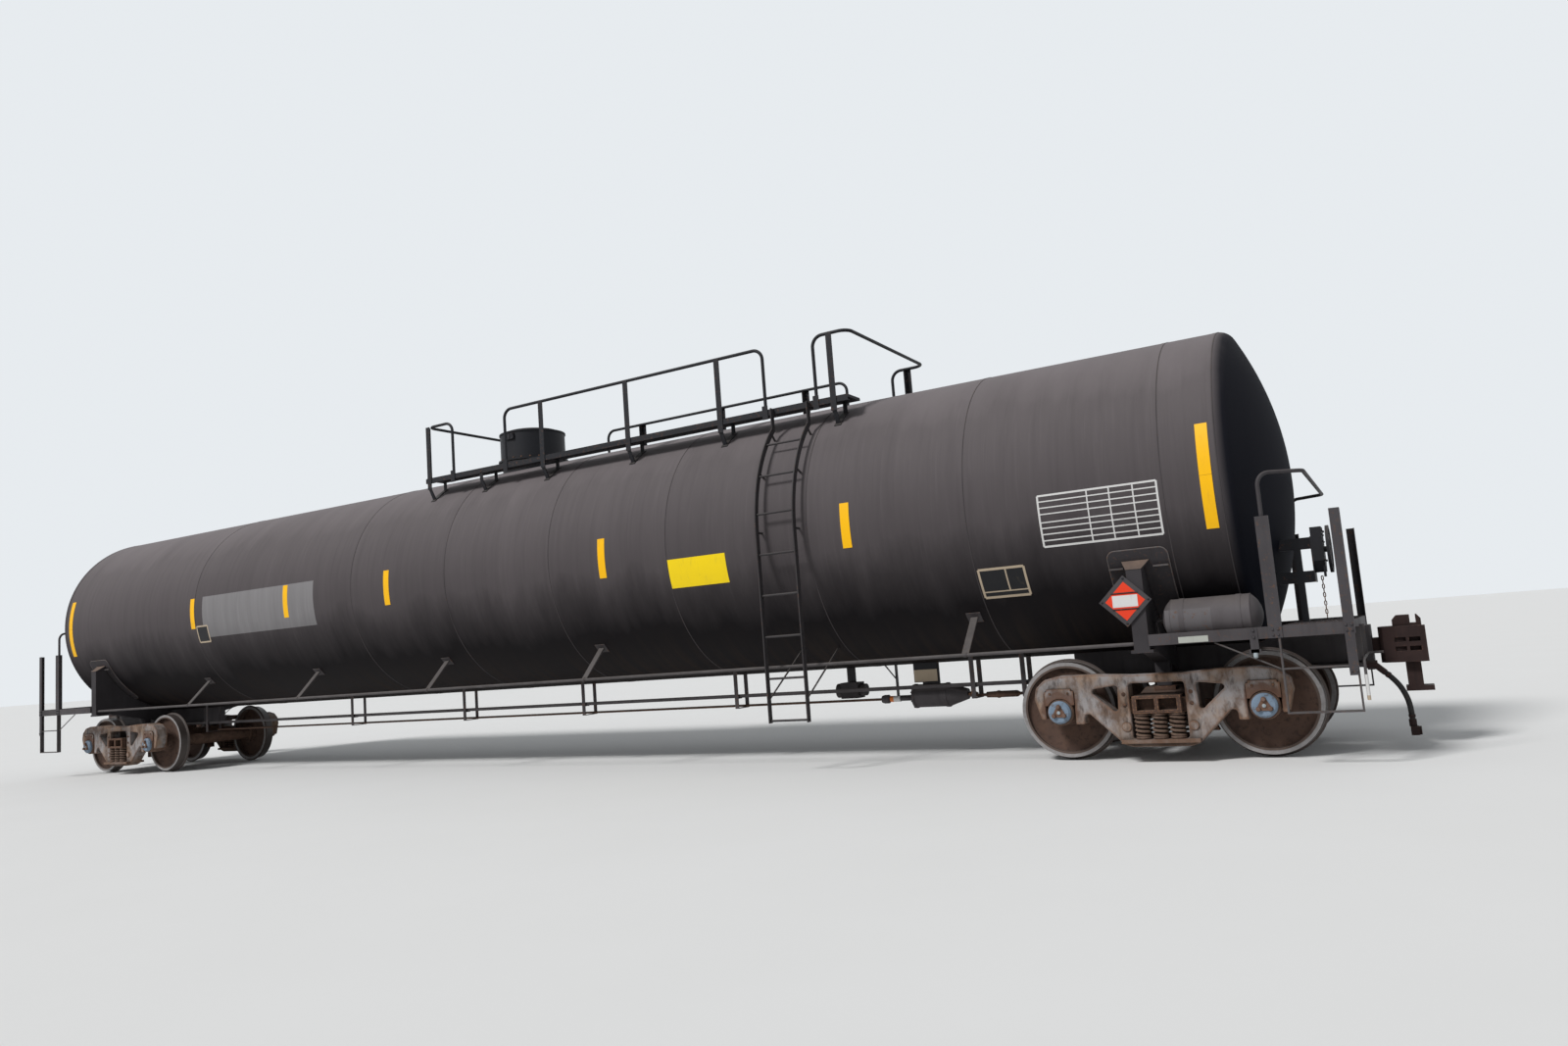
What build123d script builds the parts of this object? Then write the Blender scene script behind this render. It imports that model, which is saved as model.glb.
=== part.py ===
"""Railway tank car: a jacketed pressure tank on two stub sills and two four-wheel trucks.

X runs along the car, Y across it and Z up. The origin is under the middle of the car, level
with the tips of the wheel flanges. End b, at +X, has the hand brake; end a is at -X.
The near side is -Y, the far side is +Y. All sizes are in millimetres.
"""

import os
from math import acos, atan2, cos, degrees, radians, sin, sqrt

from build123d import *

os.makedirs("parts", exist_ok=True)

# Driving dimensions: tank, with heights from the rail
TANK_RADIUS = 1511.0
TANK_BELLY = 962.0
BARREL_LENGTH = 18436.0
HEAD_DEPTH = 450.0
KNUCKLE_RADIUS = 130.0

# Driving dimensions: wheels and axles
FLANGE_DEPTH = 25.0
WHEEL_DIAMETER = 914.0
BACK_TO_BACK = 1356.0
RIM_WIDTH = 145.0
RIM_THICKNESS = 58.0
FLANGE_WIDTH = 32.0
TREAD_TAPER = 6.0
PLATE_THICKNESS = 28.0
PLATE_DISH = 38.0
HUB_DIAMETER = 272.0
HUB_LENGTH = 178.0
HUB_SETBACK = 12.0
HUB_FLARE = 16.0
WHEEL_SEAT_DIAMETER = 222.0
AXLE_DIAMETER = 176.0
JOURNAL_CENTRES = 2007.0
BEARING_DIAMETER = 252.0
BEARING_LENGTH = 190.0
BEARING_STEP = 18.0
END_CAP_DIAMETER = 212.0
END_CAP_THICKNESS = 46.0
LOCKING_PLATE_SIDE = 150.0
LOCKING_PLATE_THICKNESS = 8.0
LOCKING_PLATE_CORNER = 14.0

# Driving dimensions: truck side frames, with heights from the rail
TRUCK_SETBACK = 793.0
WHEELBASE = 1778.0
FRAME_THICKNESS = 170.0
FRAME_TOP = 792.0
FRAME_SAG = 20.0
FRAME_BOTTOM = 122.0
FRAME_OVERHANG = 238.0
FRAME_EDGE = 7.0
TIE_BAR_BOTTOM = 392.0
PEDESTAL_OPENING = 276.0
PEDESTAL_TOP = 650.0
PEDESTAL_LEG = 80.0
PEDESTAL_LEG_BOTTOM = 338.0
BOLSTER_WINDOW_WIDTH = 490.0
BOLSTER_WINDOW_TOP = 694.0
SPRING_SEAT = 192.0
SPRING_SHELF_WIDTH = 290.0
SPRING_SHELF_THICKNESS = 34.0
COLUMN_WIDTH = 96.0
SIDE_WINDOW_TOP = 684.0
SIDE_WINDOW_BOTTOM = 418.0
WINDOW_CORNER = 26.0
BOSS_DIAMETER = 84.0
BOSS_HEIGHT = 10.0
BOSS_Z = 330.0
ADAPTER_WIDTH = 196.0
ADAPTER_LIP = 22.0

# Driving dimensions: truck bolster, springs and brake beams
SPRING_DIAMETER = 140.0
SPRING_HEIGHT = 232.0
SPRING_PITCH = 152.0
SPRING_COILS = 6
SPRING_WIRE = 26.0
SPRING_ROW = 72.0
BOLSTER_WIDTH = 420.0
BOLSTER_END_DEPTH = 156.0
BOLSTER_END_FLANGE = 26.0
BOLSTER_REACH = 1150.0
BOLSTER_BELLY = 320.0
BOLSTER_RIB = 34.0
BOLSTER_SHOULDER = 760.0
BOLSTER_TOP_HALF = 500.0
BOLSTER_POCKET = 90.0
WEDGE_WIDTH = 120.0
BOWL_DIAMETER = 440.0
BOWL_RIM = 26.0
BOWL_SINK = 34.0
CENTRE_PLATE_DIAMETER = 400.0
CENTRE_PLATE_HEIGHT = 654.0
SIDE_BEARING_Y = 635.0
SIDE_BEARING_SIZE = 96.0
SIDE_BEARING_DROP = 20.0
SIDE_BEARING_HEIGHT = 70.0
BRAKE_BEAM_SIZE = 56.0
BRAKE_BEAM_DROP = 90.0
BRAKE_SHOE_WIDTH = 84.0
BRAKE_SHOE_REACH = 140.0

# Driving dimensions: stub sills and body bolsters, with heights from the rail
COUPLER_HEIGHT = 876.0
SILL_LENGTH_INBOARD = 950.0
SILL_INSIDE_WIDTH = 328.0
SILL_WALL = 22.0
SILL_DEPTH = 330.0
SILL_FLANGE = 45.0
SILL_POCKET_LENGTH = 900.0
STRIKER_OVERHANG = 75.0
STRIKER_THICKNESS = 60.0
STRIKER_BORDER = 44.0
BODY_BOLSTER_WIDTH = 134.0
BODY_BOLSTER_INSET = 31.0
BODY_BOLSTER_WEB_DROP = 768.0
BODY_BOLSTER_RISE = 88.0
BODY_BOLSTER_RUN = 134.0
BODY_BOLSTER_CAP = 252.0
BODY_BOLSTER_CAP_THICKNESS = 16.0
JACK_PAD_HEIGHT = 1000.0
JACK_PAD_SIZE = 190.0
JACK_PAD_THICKNESS = 26.0
SADDLE_LENGTH = 528.0
SADDLE_AHEAD = 26.0
SADDLE_TOP = 583.0
SADDLE_BOTTOM = 1250.0
SADDLE_CORNER = 70.0
SADDLE_THICKNESS = 10.0

# Driving dimensions: end platforms, with heights from the rail
PLATFORM_OVERHANG = 867.0
SIDE_INSET = 11.0
PLATFORM_TOP = 1130.0
PLATFORM_SILL_DEPTH = 97.0
PLATFORM_SILL_WIDTH = 70.0
PLATFORM_SILL_WALL = 10.0
CROSSOVER_LENGTH = 525.0
WALKWAY_THICKNESS = 32.0
CROSS_BAR_WIDTH = 60.0
CROSS_BAR_THICKNESS = 26.0

# Driving dimensions: couplers
PULLING_FACE_AHEAD = 340.0
COUPLER_PIVOT_SETBACK = 740.0
COUPLER_PIVOT_END = 75.0
SHANK_WIDTH = 150.0
SHANK_DEPTH = 132.0
SHANK_SWING_ROOM = 75.0
COUPLER_PIN_DIAMETER = 76.0
HEAD_HEIGHT = 318.0
HEAD_BACK = 285.0
KNUCKLE_HEIGHT = 248.0
KNUCKLE_PIN_SETBACK = 118.0
KNUCKLE_PIN_OFFSET = 104.0
KNUCKLE_PIN_DIAMETER = 42.0
KNUCKLE_HUB_RADIUS = 74.0
TOP_SHELF_RISE = 96.0
TOP_SHELF_WIDTH = 220.0
TOP_SHELF_SLOT = 46.0
BOTTOM_SHELF_DROP = 259.0
BOTTOM_SHELF_THICKNESS = 42.0
GUARD_SLOT_LENGTH = 88.0
GUARD_SLOT_HEIGHT = 40.0
GUARD_SLOT_PITCH = 112.0
GUARD_SLOT_AHEAD = -60.0
GUARD_SLOT_FLOOR = 165.0

# Driving dimensions: end railings and sill steps
HANDRAIL_DIAMETER = 34.0
END_POST_RISE = 918.0
END_RAIL_RISE = 1285.0
END_POST_SETBACK = 575.0
END_RAIL_BEND = 110.0
END_POST_WIDTH = 104.0
END_POST_DEPTH = 46.0
CORNER_POST_WIDTH = 70.0
CORNER_POST_DROP = 430.0
POST_WALL = 8.0
STEP_FOOT = 410.0
STEP_PITCH = 360.0
STEP_LENGTH = 560.0
STEP_DEPTH = 60.0
STEP_BAR = 14.0
STEP_BRACE_RUN = 500.0

# Driving dimensions: side handrails and ladders, with heights from the rail
SIDE_RAIL_INSET = 71.0
SIDE_RAIL_HEIGHT = 1056.0
SIDE_RAIL_BRACKETS = 4
SIDE_RAIL_BRACKET_START = -5855.0
SIDE_RAIL_BRACKET_PITCH = 2633.0
SIDE_RAIL_LAST_BRACKET = 6775.0
BRACKET_WIDTH = 72.0
BRACKET_THICKNESS = 14.0
BRACKET_FOOT_INSET = 435.0
LADDER_X = 4890.0
LADDER_WIDTH = 453.0
LADDER_STANDOFF = 104.0
LADDER_FOOT = 491.0
LADDER_BAR_WIDTH = 64.0
LADDER_BAR_THICKNESS = 12.0
RUNG_DIAMETER = 24.0
RUNG_PITCH = 430.0
LADDER_BRACE_HEIGHT = 745.0
LADDER_BRACE_FOOT = 830.0

# Driving dimensions: top platform, with heights from the tank's crown
DECK_START = -827.0
DECK_END = 5701.0
DECK_HALF_WIDTH = 1077.0
DECK_INNER = 530.0
DECK_DROP = 93.0
DECK_THICKNESS = 26.0
DECK_CHANNEL_DEPTH = 90.0
DECK_CHANNEL_WIDTH = 44.0
DECK_CHANNEL_WALL = 8.0
DECK_RAIL_RISE = 711.0
DECK_RAIL_DIAMETER = 38.0
DECK_RAIL_BEND = 120.0
DECK_RAIL_SETBACK = 61.0
DECK_POST_WIDTH = 70.0
DECK_FOOT_DROP = 60.0
DECK_FOOT_REACH = 230.0
DECK_PAD_LENGTH = 150.0
DECK_PAD_THICKNESS = 8.0
GATE_START = 4560.0
GATE_END = 5208.0
DECK_POST_SETBACK = 213.0
DECK_MIDDLE_POSTS = (1256.0, 2626.0, 3957.0)
HOUSING_GATE_START = -348.0
HOUSING_GATE_END = 611.0

# Driving dimensions: valve housing, with heights from the tank's crown
HOUSING_X = 105.0
HOUSING_DIAMETER = 890.0
HOUSING_WALL = 20.0
HOUSING_RIM_RISE = 488.0
HOUSING_FLOOR_RISE = 96.0
HOUSING_FLANGE_WIDTH = 34.0
HOUSING_FLANGE_THICKNESS = 26.0
LID_THICKNESS = 20.0
LID_OVERHANG = 12.0
LID_RISE = 34.0
HINGE_REACH = 46.0
HINGE_RISE = 20.0
HINGE_PIN_DIAMETER = 24.0
HINGE_WIDTH = 88.0
ACCESS_WIDTH = 150.0
ACCESS_HEIGHT = 80.0
VALVE_FLANGE = 22.0

# Driving dimensions: hand brake, on the end platform
HAND_BRAKE_SETBACK = 275.0
HAND_BRAKE_Y = -600.0
HAND_BRAKE_RISE = 632.0
BRAKE_CASE_HEIGHT = 398.0
BRAKE_CASE_WIDTH = 250.0
BRAKE_CASE_DEPTH = 90.0
HAND_WHEEL_DIAMETER = 420.0
HAND_WHEEL_SETBACK = 120.0
HAND_WHEEL_RIM = 26.0
BRAKE_POST_SETBACK = 401.0
BRAKE_POST_WIDTH = 54.0
BRAKE_ARM_DEPTH = 102.0
BRAKE_ARM_WIDTH = 60.0
BRAKE_ARM_PITCH = 298.0
BRAKE_ARM_RISE = 700.0
RELEASE_LENGTH = 144.0

# Driving dimensions: air brake, with heights from the rail
RESERVOIR_SETBACK = 670.0
RESERVOIR_LENGTH = 822.0
RESERVOIR_DIAMETER = 356.0
RESERVOIR_Y_INSET = 221.0
RESERVOIR_HEIGHT = 1242.0
RESERVOIR_DOME = 90.0
CYLINDER_START = 5693.0
CYLINDER_LENGTH = 399.0
CYLINDER_DIAMETER = 250.0
CYLINDER_CONE = 217.0
CYLINDER_Y = -200.0
CYLINDER_HEIGHT = 618.0
VALVE_X = 4860.0
VALVE_Y = -70.0
VALVE_HEIGHT = 710.0
VALVE_DEPTH = 180.0
PIPE_DIAMETER = 42.0
PIPE_Y = -390.0
PIPE_HEIGHT = 723.0
PIPE_SETBACK = 62.0
ROD_DIAMETER = 28.0
ROD_Y = -240.0
ROD_HEIGHT = 600.0
ROD_SETBACK = 1425.0
HANGER_THICKNESS = 8.0
HANGER_WIDTH = 50.0
COCK_DIAMETER = 68.0
COCK_LENGTH = 90.0
COCK_SPOUT = 54.0
COCK_REACH = 110.0
HOSE_DIAMETER = 46.0
HOSE_STRAIGHT = 110.0
HOSE_BEND = 90.0
HOSE_FERRULE = 60.0
GLAD_HAND_DROP = 74.0
LEVER_DIAMETER = 22.0
LEVER_DROP = 323.0
LEVER_HEIGHT = 823.0
LEVER_AHEAD = 40.0
LEVER_REACH = 120.0

# Driving dimensions: placard boards
PLACARD_SETBACK = 95.0
PLACARD_HEIGHT = 1438.0
PLACARD_HALF = 228.0
PLACARD_THICKNESS = 8.0
PLACARD_STANDOFF = 12.0

# Clearances
SEAT_GAP = 0.3
PIN_GAP = 0.3
MOVING_GAP = 6.0

# Values worked out from the dimensions above
RAIL = FLANGE_DEPTH
WHEEL_RADIUS = WHEEL_DIAMETER / 2
AXLE_Z = RAIL + WHEEL_RADIUS
BARREL_END = BARREL_LENGTH / 2
TANK_Z = RAIL + TANK_BELLY + TANK_RADIUS
CROWN_Z = TANK_Z + TANK_RADIUS
TRUCK_X = BARREL_END - TRUCK_SETBACK
COUPLER_Z = RAIL + COUPLER_HEIGHT
SILL_HALF = SILL_INSIDE_WIDTH / 2 + SILL_WALL
SILL_BOTTOM = COUPLER_Z - SILL_DEPTH / 2
SILL_TOP = COUPLER_Z + SILL_DEPTH / 2
PLATFORM_END = BARREL_END + PLATFORM_OVERHANG
STRIKER_FACE = PLATFORM_END + STRIKER_OVERHANG
PULLING_FACE = STRIKER_FACE + PULLING_FACE_AHEAD
PIVOT = PULLING_FACE - COUPLER_PIVOT_SETBACK
HALF_WIDTH = TANK_RADIUS - SIDE_INSET
BOLSTER_FACE = TANK_RADIUS - BODY_BOLSTER_INSET
JACK_Z = RAIL + JACK_PAD_HEIGHT
DECK_Z = RAIL + PLATFORM_TOP
SIDE_SILL_LOW = DECK_Z - PLATFORM_SILL_DEPTH
TOP_DECK_Z = CROWN_Z - DECK_DROP
FRAME_Y = JOURNAL_CENTRES / 2
BOWL_FLOOR = RAIL + CENTRE_PLATE_HEIGHT
SIDE_BEARING_Z = BOWL_FLOOR - SIDE_BEARING_DROP
HOUSING_FLOOR = CROWN_Z + HOUSING_FLOOR_RISE
HOUSING_RIM = CROWN_Z + HOUSING_RIM_RISE
PIPE_Z = RAIL + PIPE_HEIGHT
ROD_Z = RAIL + ROD_HEIGHT
ENDS = (("b", 1), ("a", -1))
SIDES = (-1, 1)


# Helper forms
def tank_height(offset, radius=TANK_RADIUS):
    """Height of the lower half of a circle about the tank's axis, that far out sideways."""
    return TANK_Z - sqrt(radius**2 - offset**2)


def tank_crown(offset, radius=TANK_RADIUS):
    """Height of the upper half of a circle about the tank's axis, that far out sideways."""
    return TANK_Z + sqrt(radius**2 - offset**2)


def block(x, y, z, mode=Mode.ADD):
    """A box between three pairs of coordinates."""
    with Locations((sum(x) / 2, sum(y) / 2, sum(z) / 2)):
        Box(abs(x[1] - x[0]), abs(y[1] - y[0]), abs(z[1] - z[0]), mode=mode)


def rod(start, end, radius, mode=Mode.ADD):
    """A round bar from one point to another."""
    run = Vector(*end) - Vector(*start)
    with Locations(Plane(origin=start, z_dir=run).location):
        Cylinder(radius, run.length, align=(Align.CENTER, Align.CENTER, Align.MIN), mode=mode)


def plate(plane, points, thickness, mode=Mode.ADD):
    """A flat piece with straight edges, half of its thickness to each side of its plane."""
    with BuildSketch(plane) as outline:
        with BuildLine():
            Polyline(*points, close=True)
        make_face()
    extrude(outline.sketch, amount=thickness / 2, both=True, mode=mode)


def pipe(points, radius, bend):
    """A round bar bent at each point between the first and the last."""
    with BuildLine() as path:
        FilletPolyline(*points, radius=bend)
    with BuildSketch(Plane(origin=path.line @ 0, z_dir=path.line % 0)) as section:
        Circle(radius)
    sweep(section.sketch, path=path.line)


def side_plane(x=0.0, y=0.0, z=0.0):
    """A plane seen from the near side: its own x runs along the car and its own y runs up."""
    return Plane(origin=(x, y, z), x_dir=(1, 0, 0), z_dir=(0, -1, 0))


def cross_plane(x=0.0, y=0.0, z=0.0):
    """A plane across the car: its own x runs to the far side and its own y runs up."""
    return Plane(origin=(x, y, z), x_dir=(0, 1, 0), z_dir=(1, 0, 0))


def channel(x, outer, inner, z, wall):
    """A channel along the car, its web at outer and its flanges reaching to inner."""
    way = 1 if inner > outer else -1
    block(x, (outer, outer + way * wall), z)
    for low in (z[0], z[1] - wall):
        block(x, (outer, inner), (low, low + wall))


def tank_form(extra):
    """The tank's outer form, larger all round by extra."""
    knuckle = KNUCKLE_RADIUS + extra
    depth = HEAD_DEPTH + extra
    radius = TANK_RADIUS + extra
    rise = radius - knuckle
    dish = (depth**2 - knuckle**2 + rise**2) / (2 * (depth - knuckle))
    dish_centre = BARREL_END + depth - dish
    join = degrees(atan2(rise, BARREL_END - dish_centre))
    with BuildPart() as form:
        with BuildSketch(side_plane(z=TANK_Z)):
            with BuildLine():
                Line((0, 0), (0, radius))
                Line((0, radius), (BARREL_END, radius))
                CenterArc((BARREL_END, rise), knuckle, join, 90 - join)
                CenterArc((dish_centre, 0), dish, 0, join)
                Line((BARREL_END + depth, 0), (0, 0))
            make_face()
        revolve(axis=Axis((0, 0, TANK_Z), (1, 0, 0)))
        mirror(about=Plane.YZ)
    return form.part


def write(part, name):
    part.label = name
    export_step(part, f"parts/{name}.step")


# Tank in its jacket
tank_shell = tank_form(0)
tank_seat = tank_form(SEAT_GAP)
write(tank_shell, "tank_shell")

# Stub sills, open at the bottom of the coupler pocket, under each end of the tank
SILL_START = TRUCK_X - SILL_LENGTH_INBOARD
SILL_EDGE = SILL_HALF + SILL_FLANGE
MOUTH_HALF = SHANK_WIDTH / 2 + SHANK_SWING_ROOM
with BuildPart() as stub_sills:
    block((SILL_START, STRIKER_FACE), (-SILL_HALF, SILL_HALF), (SILL_BOTTOM, SILL_TOP))
    block(
        (STRIKER_FACE - SILL_POCKET_LENGTH, STRIKER_FACE),
        (-SILL_INSIDE_WIDTH / 2, SILL_INSIDE_WIDTH / 2),
        (SILL_BOTTOM, SILL_TOP - SILL_WALL),
        mode=Mode.SUBTRACT,
    )
    # Striker: the frame round the coupler's mouth
    block(
        (STRIKER_FACE - STRIKER_THICKNESS, STRIKER_FACE),
        (-SILL_HALF - STRIKER_BORDER, SILL_HALF + STRIKER_BORDER),
        (SILL_BOTTOM - STRIKER_BORDER, SILL_TOP + STRIKER_BORDER / 2),
    )
    block(
        (STRIKER_FACE - STRIKER_THICKNESS - SILL_WALL, STRIKER_FACE),
        (-MOUTH_HALF, MOUTH_HALF),
        (COUPLER_Z - SHANK_DEPTH / 2 - SEAT_GAP, COUPLER_Z + SHANK_DEPTH / 2 + SILL_WALL),
        mode=Mode.SUBTRACT,
    )
    # Bottom flanges
    for side in SIDES:
        block(
            (SILL_START, STRIKER_FACE - STRIKER_THICKNESS),
            (side * SILL_INSIDE_WIDTH / 2, side * SILL_EDGE),
            (SILL_BOTTOM, SILL_BOTTOM + SILL_WALL),
        )
    # Pin that the coupler swings on, from the roof of the pocket to a strap across it
    block(
        (PIVOT - COUPLER_PIVOT_END, PIVOT + COUPLER_PIVOT_END),
        (-SILL_HALF, SILL_HALF),
        (SILL_BOTTOM, SILL_BOTTOM + SILL_WALL),
    )
    rod((PIVOT, 0, SILL_BOTTOM + 1), (PIVOT, 0, SILL_TOP - 1), COUPLER_PIN_DIAMETER / 2)
    # Body centre plate over the truck
    rod(
        (TRUCK_X, 0, BOWL_FLOOR + SEAT_GAP),
        (TRUCK_X, 0, SILL_BOTTOM + 1),
        CENTRE_PLATE_DIAMETER / 2,
    )
    add(tank_seat, mode=Mode.SUBTRACT)
    mirror(about=Plane.YZ)
write(stub_sills.part, "stub_sills")

# Saddles: curved plates with rounded corners where the bolsters meet the tank
with BuildPart() as saddles:
    saddle_middle = ((SADDLE_AHEAD + TRUCK_X), 0, TANK_Z - (SADDLE_TOP + SADDLE_BOTTOM) / 2)
    with BuildSketch(side_plane(*saddle_middle)):
        RectangleRounded(SADDLE_LENGTH, SADDLE_BOTTOM - SADDLE_TOP, SADDLE_CORNER)
    extrude(amount=TANK_RADIUS + SADDLE_THICKNESS, both=True)
    add(tank_form(SADDLE_THICKNESS), mode=Mode.INTERSECT)

# Body bolsters: the webs that carry the tank's sides out to the jack pads
BOLSTER_CLEAR = SILL_EDGE + SEAT_GAP
WEB_TOP = TANK_Z - BODY_BOLSTER_WEB_DROP
WEB_LOW = SILL_BOTTOM + STRIKER_BORDER
with BuildPart() as body_bolsters:
    plate(
        cross_plane(x=TRUCK_X),
        [
            (-BOLSTER_CLEAR, WEB_LOW),
            (-BOLSTER_CLEAR, WEB_TOP),
            (-BOLSTER_FACE + BODY_BOLSTER_RUN, WEB_TOP + BODY_BOLSTER_RISE),
            (-BOLSTER_FACE, WEB_TOP),
            (-BOLSTER_FACE, JACK_Z),
            (-BOLSTER_FACE + JACK_PAD_SIZE, JACK_Z),
        ],
        BODY_BOLSTER_WIDTH,
    )
    # Cap along the web's upper edge, which widens towards the tank
    plate(
        Plane(
            origin=(TRUCK_X, -BOLSTER_FACE, WEB_TOP),
            x_dir=(1, 0, 0),
            z_dir=(0, -BODY_BOLSTER_RISE, BODY_BOLSTER_RUN),
        ),
        [
            (-BODY_BOLSTER_WIDTH / 2, 0),
            (BODY_BOLSTER_WIDTH / 2, 0),
            (BODY_BOLSTER_CAP / 2, sqrt(BODY_BOLSTER_RUN**2 + BODY_BOLSTER_RISE**2)),
            (-BODY_BOLSTER_CAP / 2, sqrt(BODY_BOLSTER_RUN**2 + BODY_BOLSTER_RISE**2)),
        ],
        BODY_BOLSTER_CAP_THICKNESS,
    )
    # Jack pad
    block(
        (TRUCK_X - JACK_PAD_SIZE / 2, TRUCK_X + JACK_PAD_SIZE / 2),
        (-BOLSTER_FACE, -BOLSTER_FACE + JACK_PAD_SIZE),
        (JACK_Z - JACK_PAD_THICKNESS, JACK_Z),
    )
    # Body side bearing, just clear of the one on the truck's bolster
    block(
        (TRUCK_X - BODY_BOLSTER_WIDTH / 2, TRUCK_X + BODY_BOLSTER_WIDTH / 2),
        (-SIDE_BEARING_Y - SIDE_BEARING_SIZE / 2, -SIDE_BEARING_Y + SIDE_BEARING_SIZE / 2),
        (SIDE_BEARING_Z + MOVING_GAP, JACK_Z),
    )
    mirror(about=Plane.XZ)
    add(saddles.part)
    add(tank_seat, mode=Mode.SUBTRACT)
    # Hole for the train pipe
    rod(
        (TRUCK_X - BODY_BOLSTER_CAP, PIPE_Y, PIPE_Z),
        (TRUCK_X + BODY_BOLSTER_CAP, PIPE_Y, PIPE_Z),
        PIPE_DIAMETER / 2 + MOVING_GAP,
        mode=Mode.SUBTRACT,
    )
    mirror(about=Plane.YZ)
write(body_bolsters.part, "body_bolsters")

# End platforms: channel sills at the sides and end, cross bars, and the crossover's deck
PLATFORM_START = TRUCK_X + BODY_BOLSTER_WIDTH / 2 + SEAT_GAP
CROSSOVER_START = PLATFORM_END - CROSSOVER_LENGTH
SILL_INNER = HALF_WIDTH - PLATFORM_SILL_WIDTH
RESERVOIR_START = PLATFORM_END - RESERVOIR_SETBACK - RESERVOIR_LENGTH
RESERVOIR_END = PLATFORM_END - RESERVOIR_SETBACK
RESERVOIR_LEGS = (RESERVOIR_START + 2 * RESERVOIR_DOME, RESERVOIR_END - 2 * RESERVOIR_DOME)
with BuildPart() as end_platforms:
    channel(
        (PLATFORM_START, PLATFORM_END),
        -HALF_WIDTH,
        -SILL_INNER,
        (SIDE_SILL_LOW, DECK_Z),
        PLATFORM_SILL_WALL,
    )
    for x in RESERVOIR_LEGS:
        block(
            (x - CROSS_BAR_WIDTH / 2, x + CROSS_BAR_WIDTH / 2),
            (-HALF_WIDTH + PLATFORM_SILL_WALL / 2, -SILL_HALF),
            (SIDE_SILL_LOW, SIDE_SILL_LOW + CROSS_BAR_THICKNESS),
        )
    mirror(about=Plane.XZ)
    block(
        (CROSSOVER_START, PLATFORM_END),
        (-HALF_WIDTH + PLATFORM_SILL_WALL, HALF_WIDTH - PLATFORM_SILL_WALL),
        (DECK_Z - WALKWAY_THICKNESS, DECK_Z),
    )
    for x in (CROSSOVER_START, PLATFORM_END - PLATFORM_SILL_WALL):
        block(
            (x, x + PLATFORM_SILL_WALL),
            (-HALF_WIDTH, HALF_WIDTH),
            (SIDE_SILL_LOW, DECK_Z),
        )
    add(tank_seat, mode=Mode.SUBTRACT)
    block(
        (PLATFORM_START, PLATFORM_END),
        (-SILL_HALF - SEAT_GAP, SILL_HALF + SEAT_GAP),
        (SILL_BOTTOM, SILL_TOP + SEAT_GAP),
        mode=Mode.SUBTRACT,
    )
    mirror(about=Plane.YZ)
write(end_platforms.part, "end_platforms")

# End railings: a hoop of pipe round each end on two channel posts, and the corner posts
POST_X = PLATFORM_END - END_POST_SETBACK
HOOP_Y = HALF_WIDTH + SEAT_GAP - POST_WALL - HANDRAIL_DIAMETER / 2
HOOPS = (
    # way, how far ahead of the posts it goes, half its length there
    (1, 340, 1236),
    (-1, 215, 700),
)
POST_TOP = DECK_Z + END_POST_RISE
with BuildPart() as end_railings:
    for side in SIDES:
        # Channel post, standing outside the side sill with its foot at the sill's lower edge
        face = side * (HALF_WIDTH + SEAT_GAP)
        inner = face - side * END_POST_DEPTH
        block(
            (POST_X - END_POST_WIDTH / 2, POST_X + END_POST_WIDTH / 2),
            (face, face + side * POST_WALL),
            (SIDE_SILL_LOW, POST_TOP),
        )
        for x in (POST_X - END_POST_WIDTH / 2, POST_X + END_POST_WIDTH / 2 - POST_WALL):
            block((x, x + POST_WALL), (face, inner), (DECK_Z + SEAT_GAP, POST_TOP))
        block(
            (POST_X - POST_WALL / 2, POST_X + POST_WALL / 2),
            (face, side * HOOP_Y),
            (POST_TOP - END_POST_WIDTH, POST_TOP - POST_WALL),
        )
        # Corner post: an angle bar from below the sill
        block(
            (PLATFORM_END - CORNER_POST_WIDTH, PLATFORM_END),
            (face, face + side * POST_WALL),
            (DECK_Z - CORNER_POST_DROP, POST_TOP),
        )
        end = PLATFORM_END + SEAT_GAP
        block(
            (end, end + POST_WALL),
            (face + side * POST_WALL, face - side * CORNER_POST_WIDTH),
            (SIDE_SILL_LOW, POST_TOP),
        )
        block(
            (PLATFORM_END - POST_WALL, end + POST_WALL),
            (face, face + side * POST_WALL),
            (SIDE_SILL_LOW, POST_TOP),
        )
    mirror(about=Plane.YZ)
    for way, ahead, half in HOOPS:
        foot_z = POST_TOP - END_POST_WIDTH
        rail_z = DECK_Z + END_RAIL_RISE
        post = way * POST_X
        corner = way * (POST_X + ahead)
        pipe(
            [
                (post, -HOOP_Y, foot_z),
                (post, -HOOP_Y, rail_z),
                (corner, -half, rail_z),
                (corner, half, rail_z),
                (post, HOOP_Y, rail_z),
                (post, HOOP_Y, foot_z),
            ],
            HANDRAIL_DIAMETER / 2,
            END_RAIL_BEND,
        )
write(end_railings.part, "end_railings")

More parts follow.
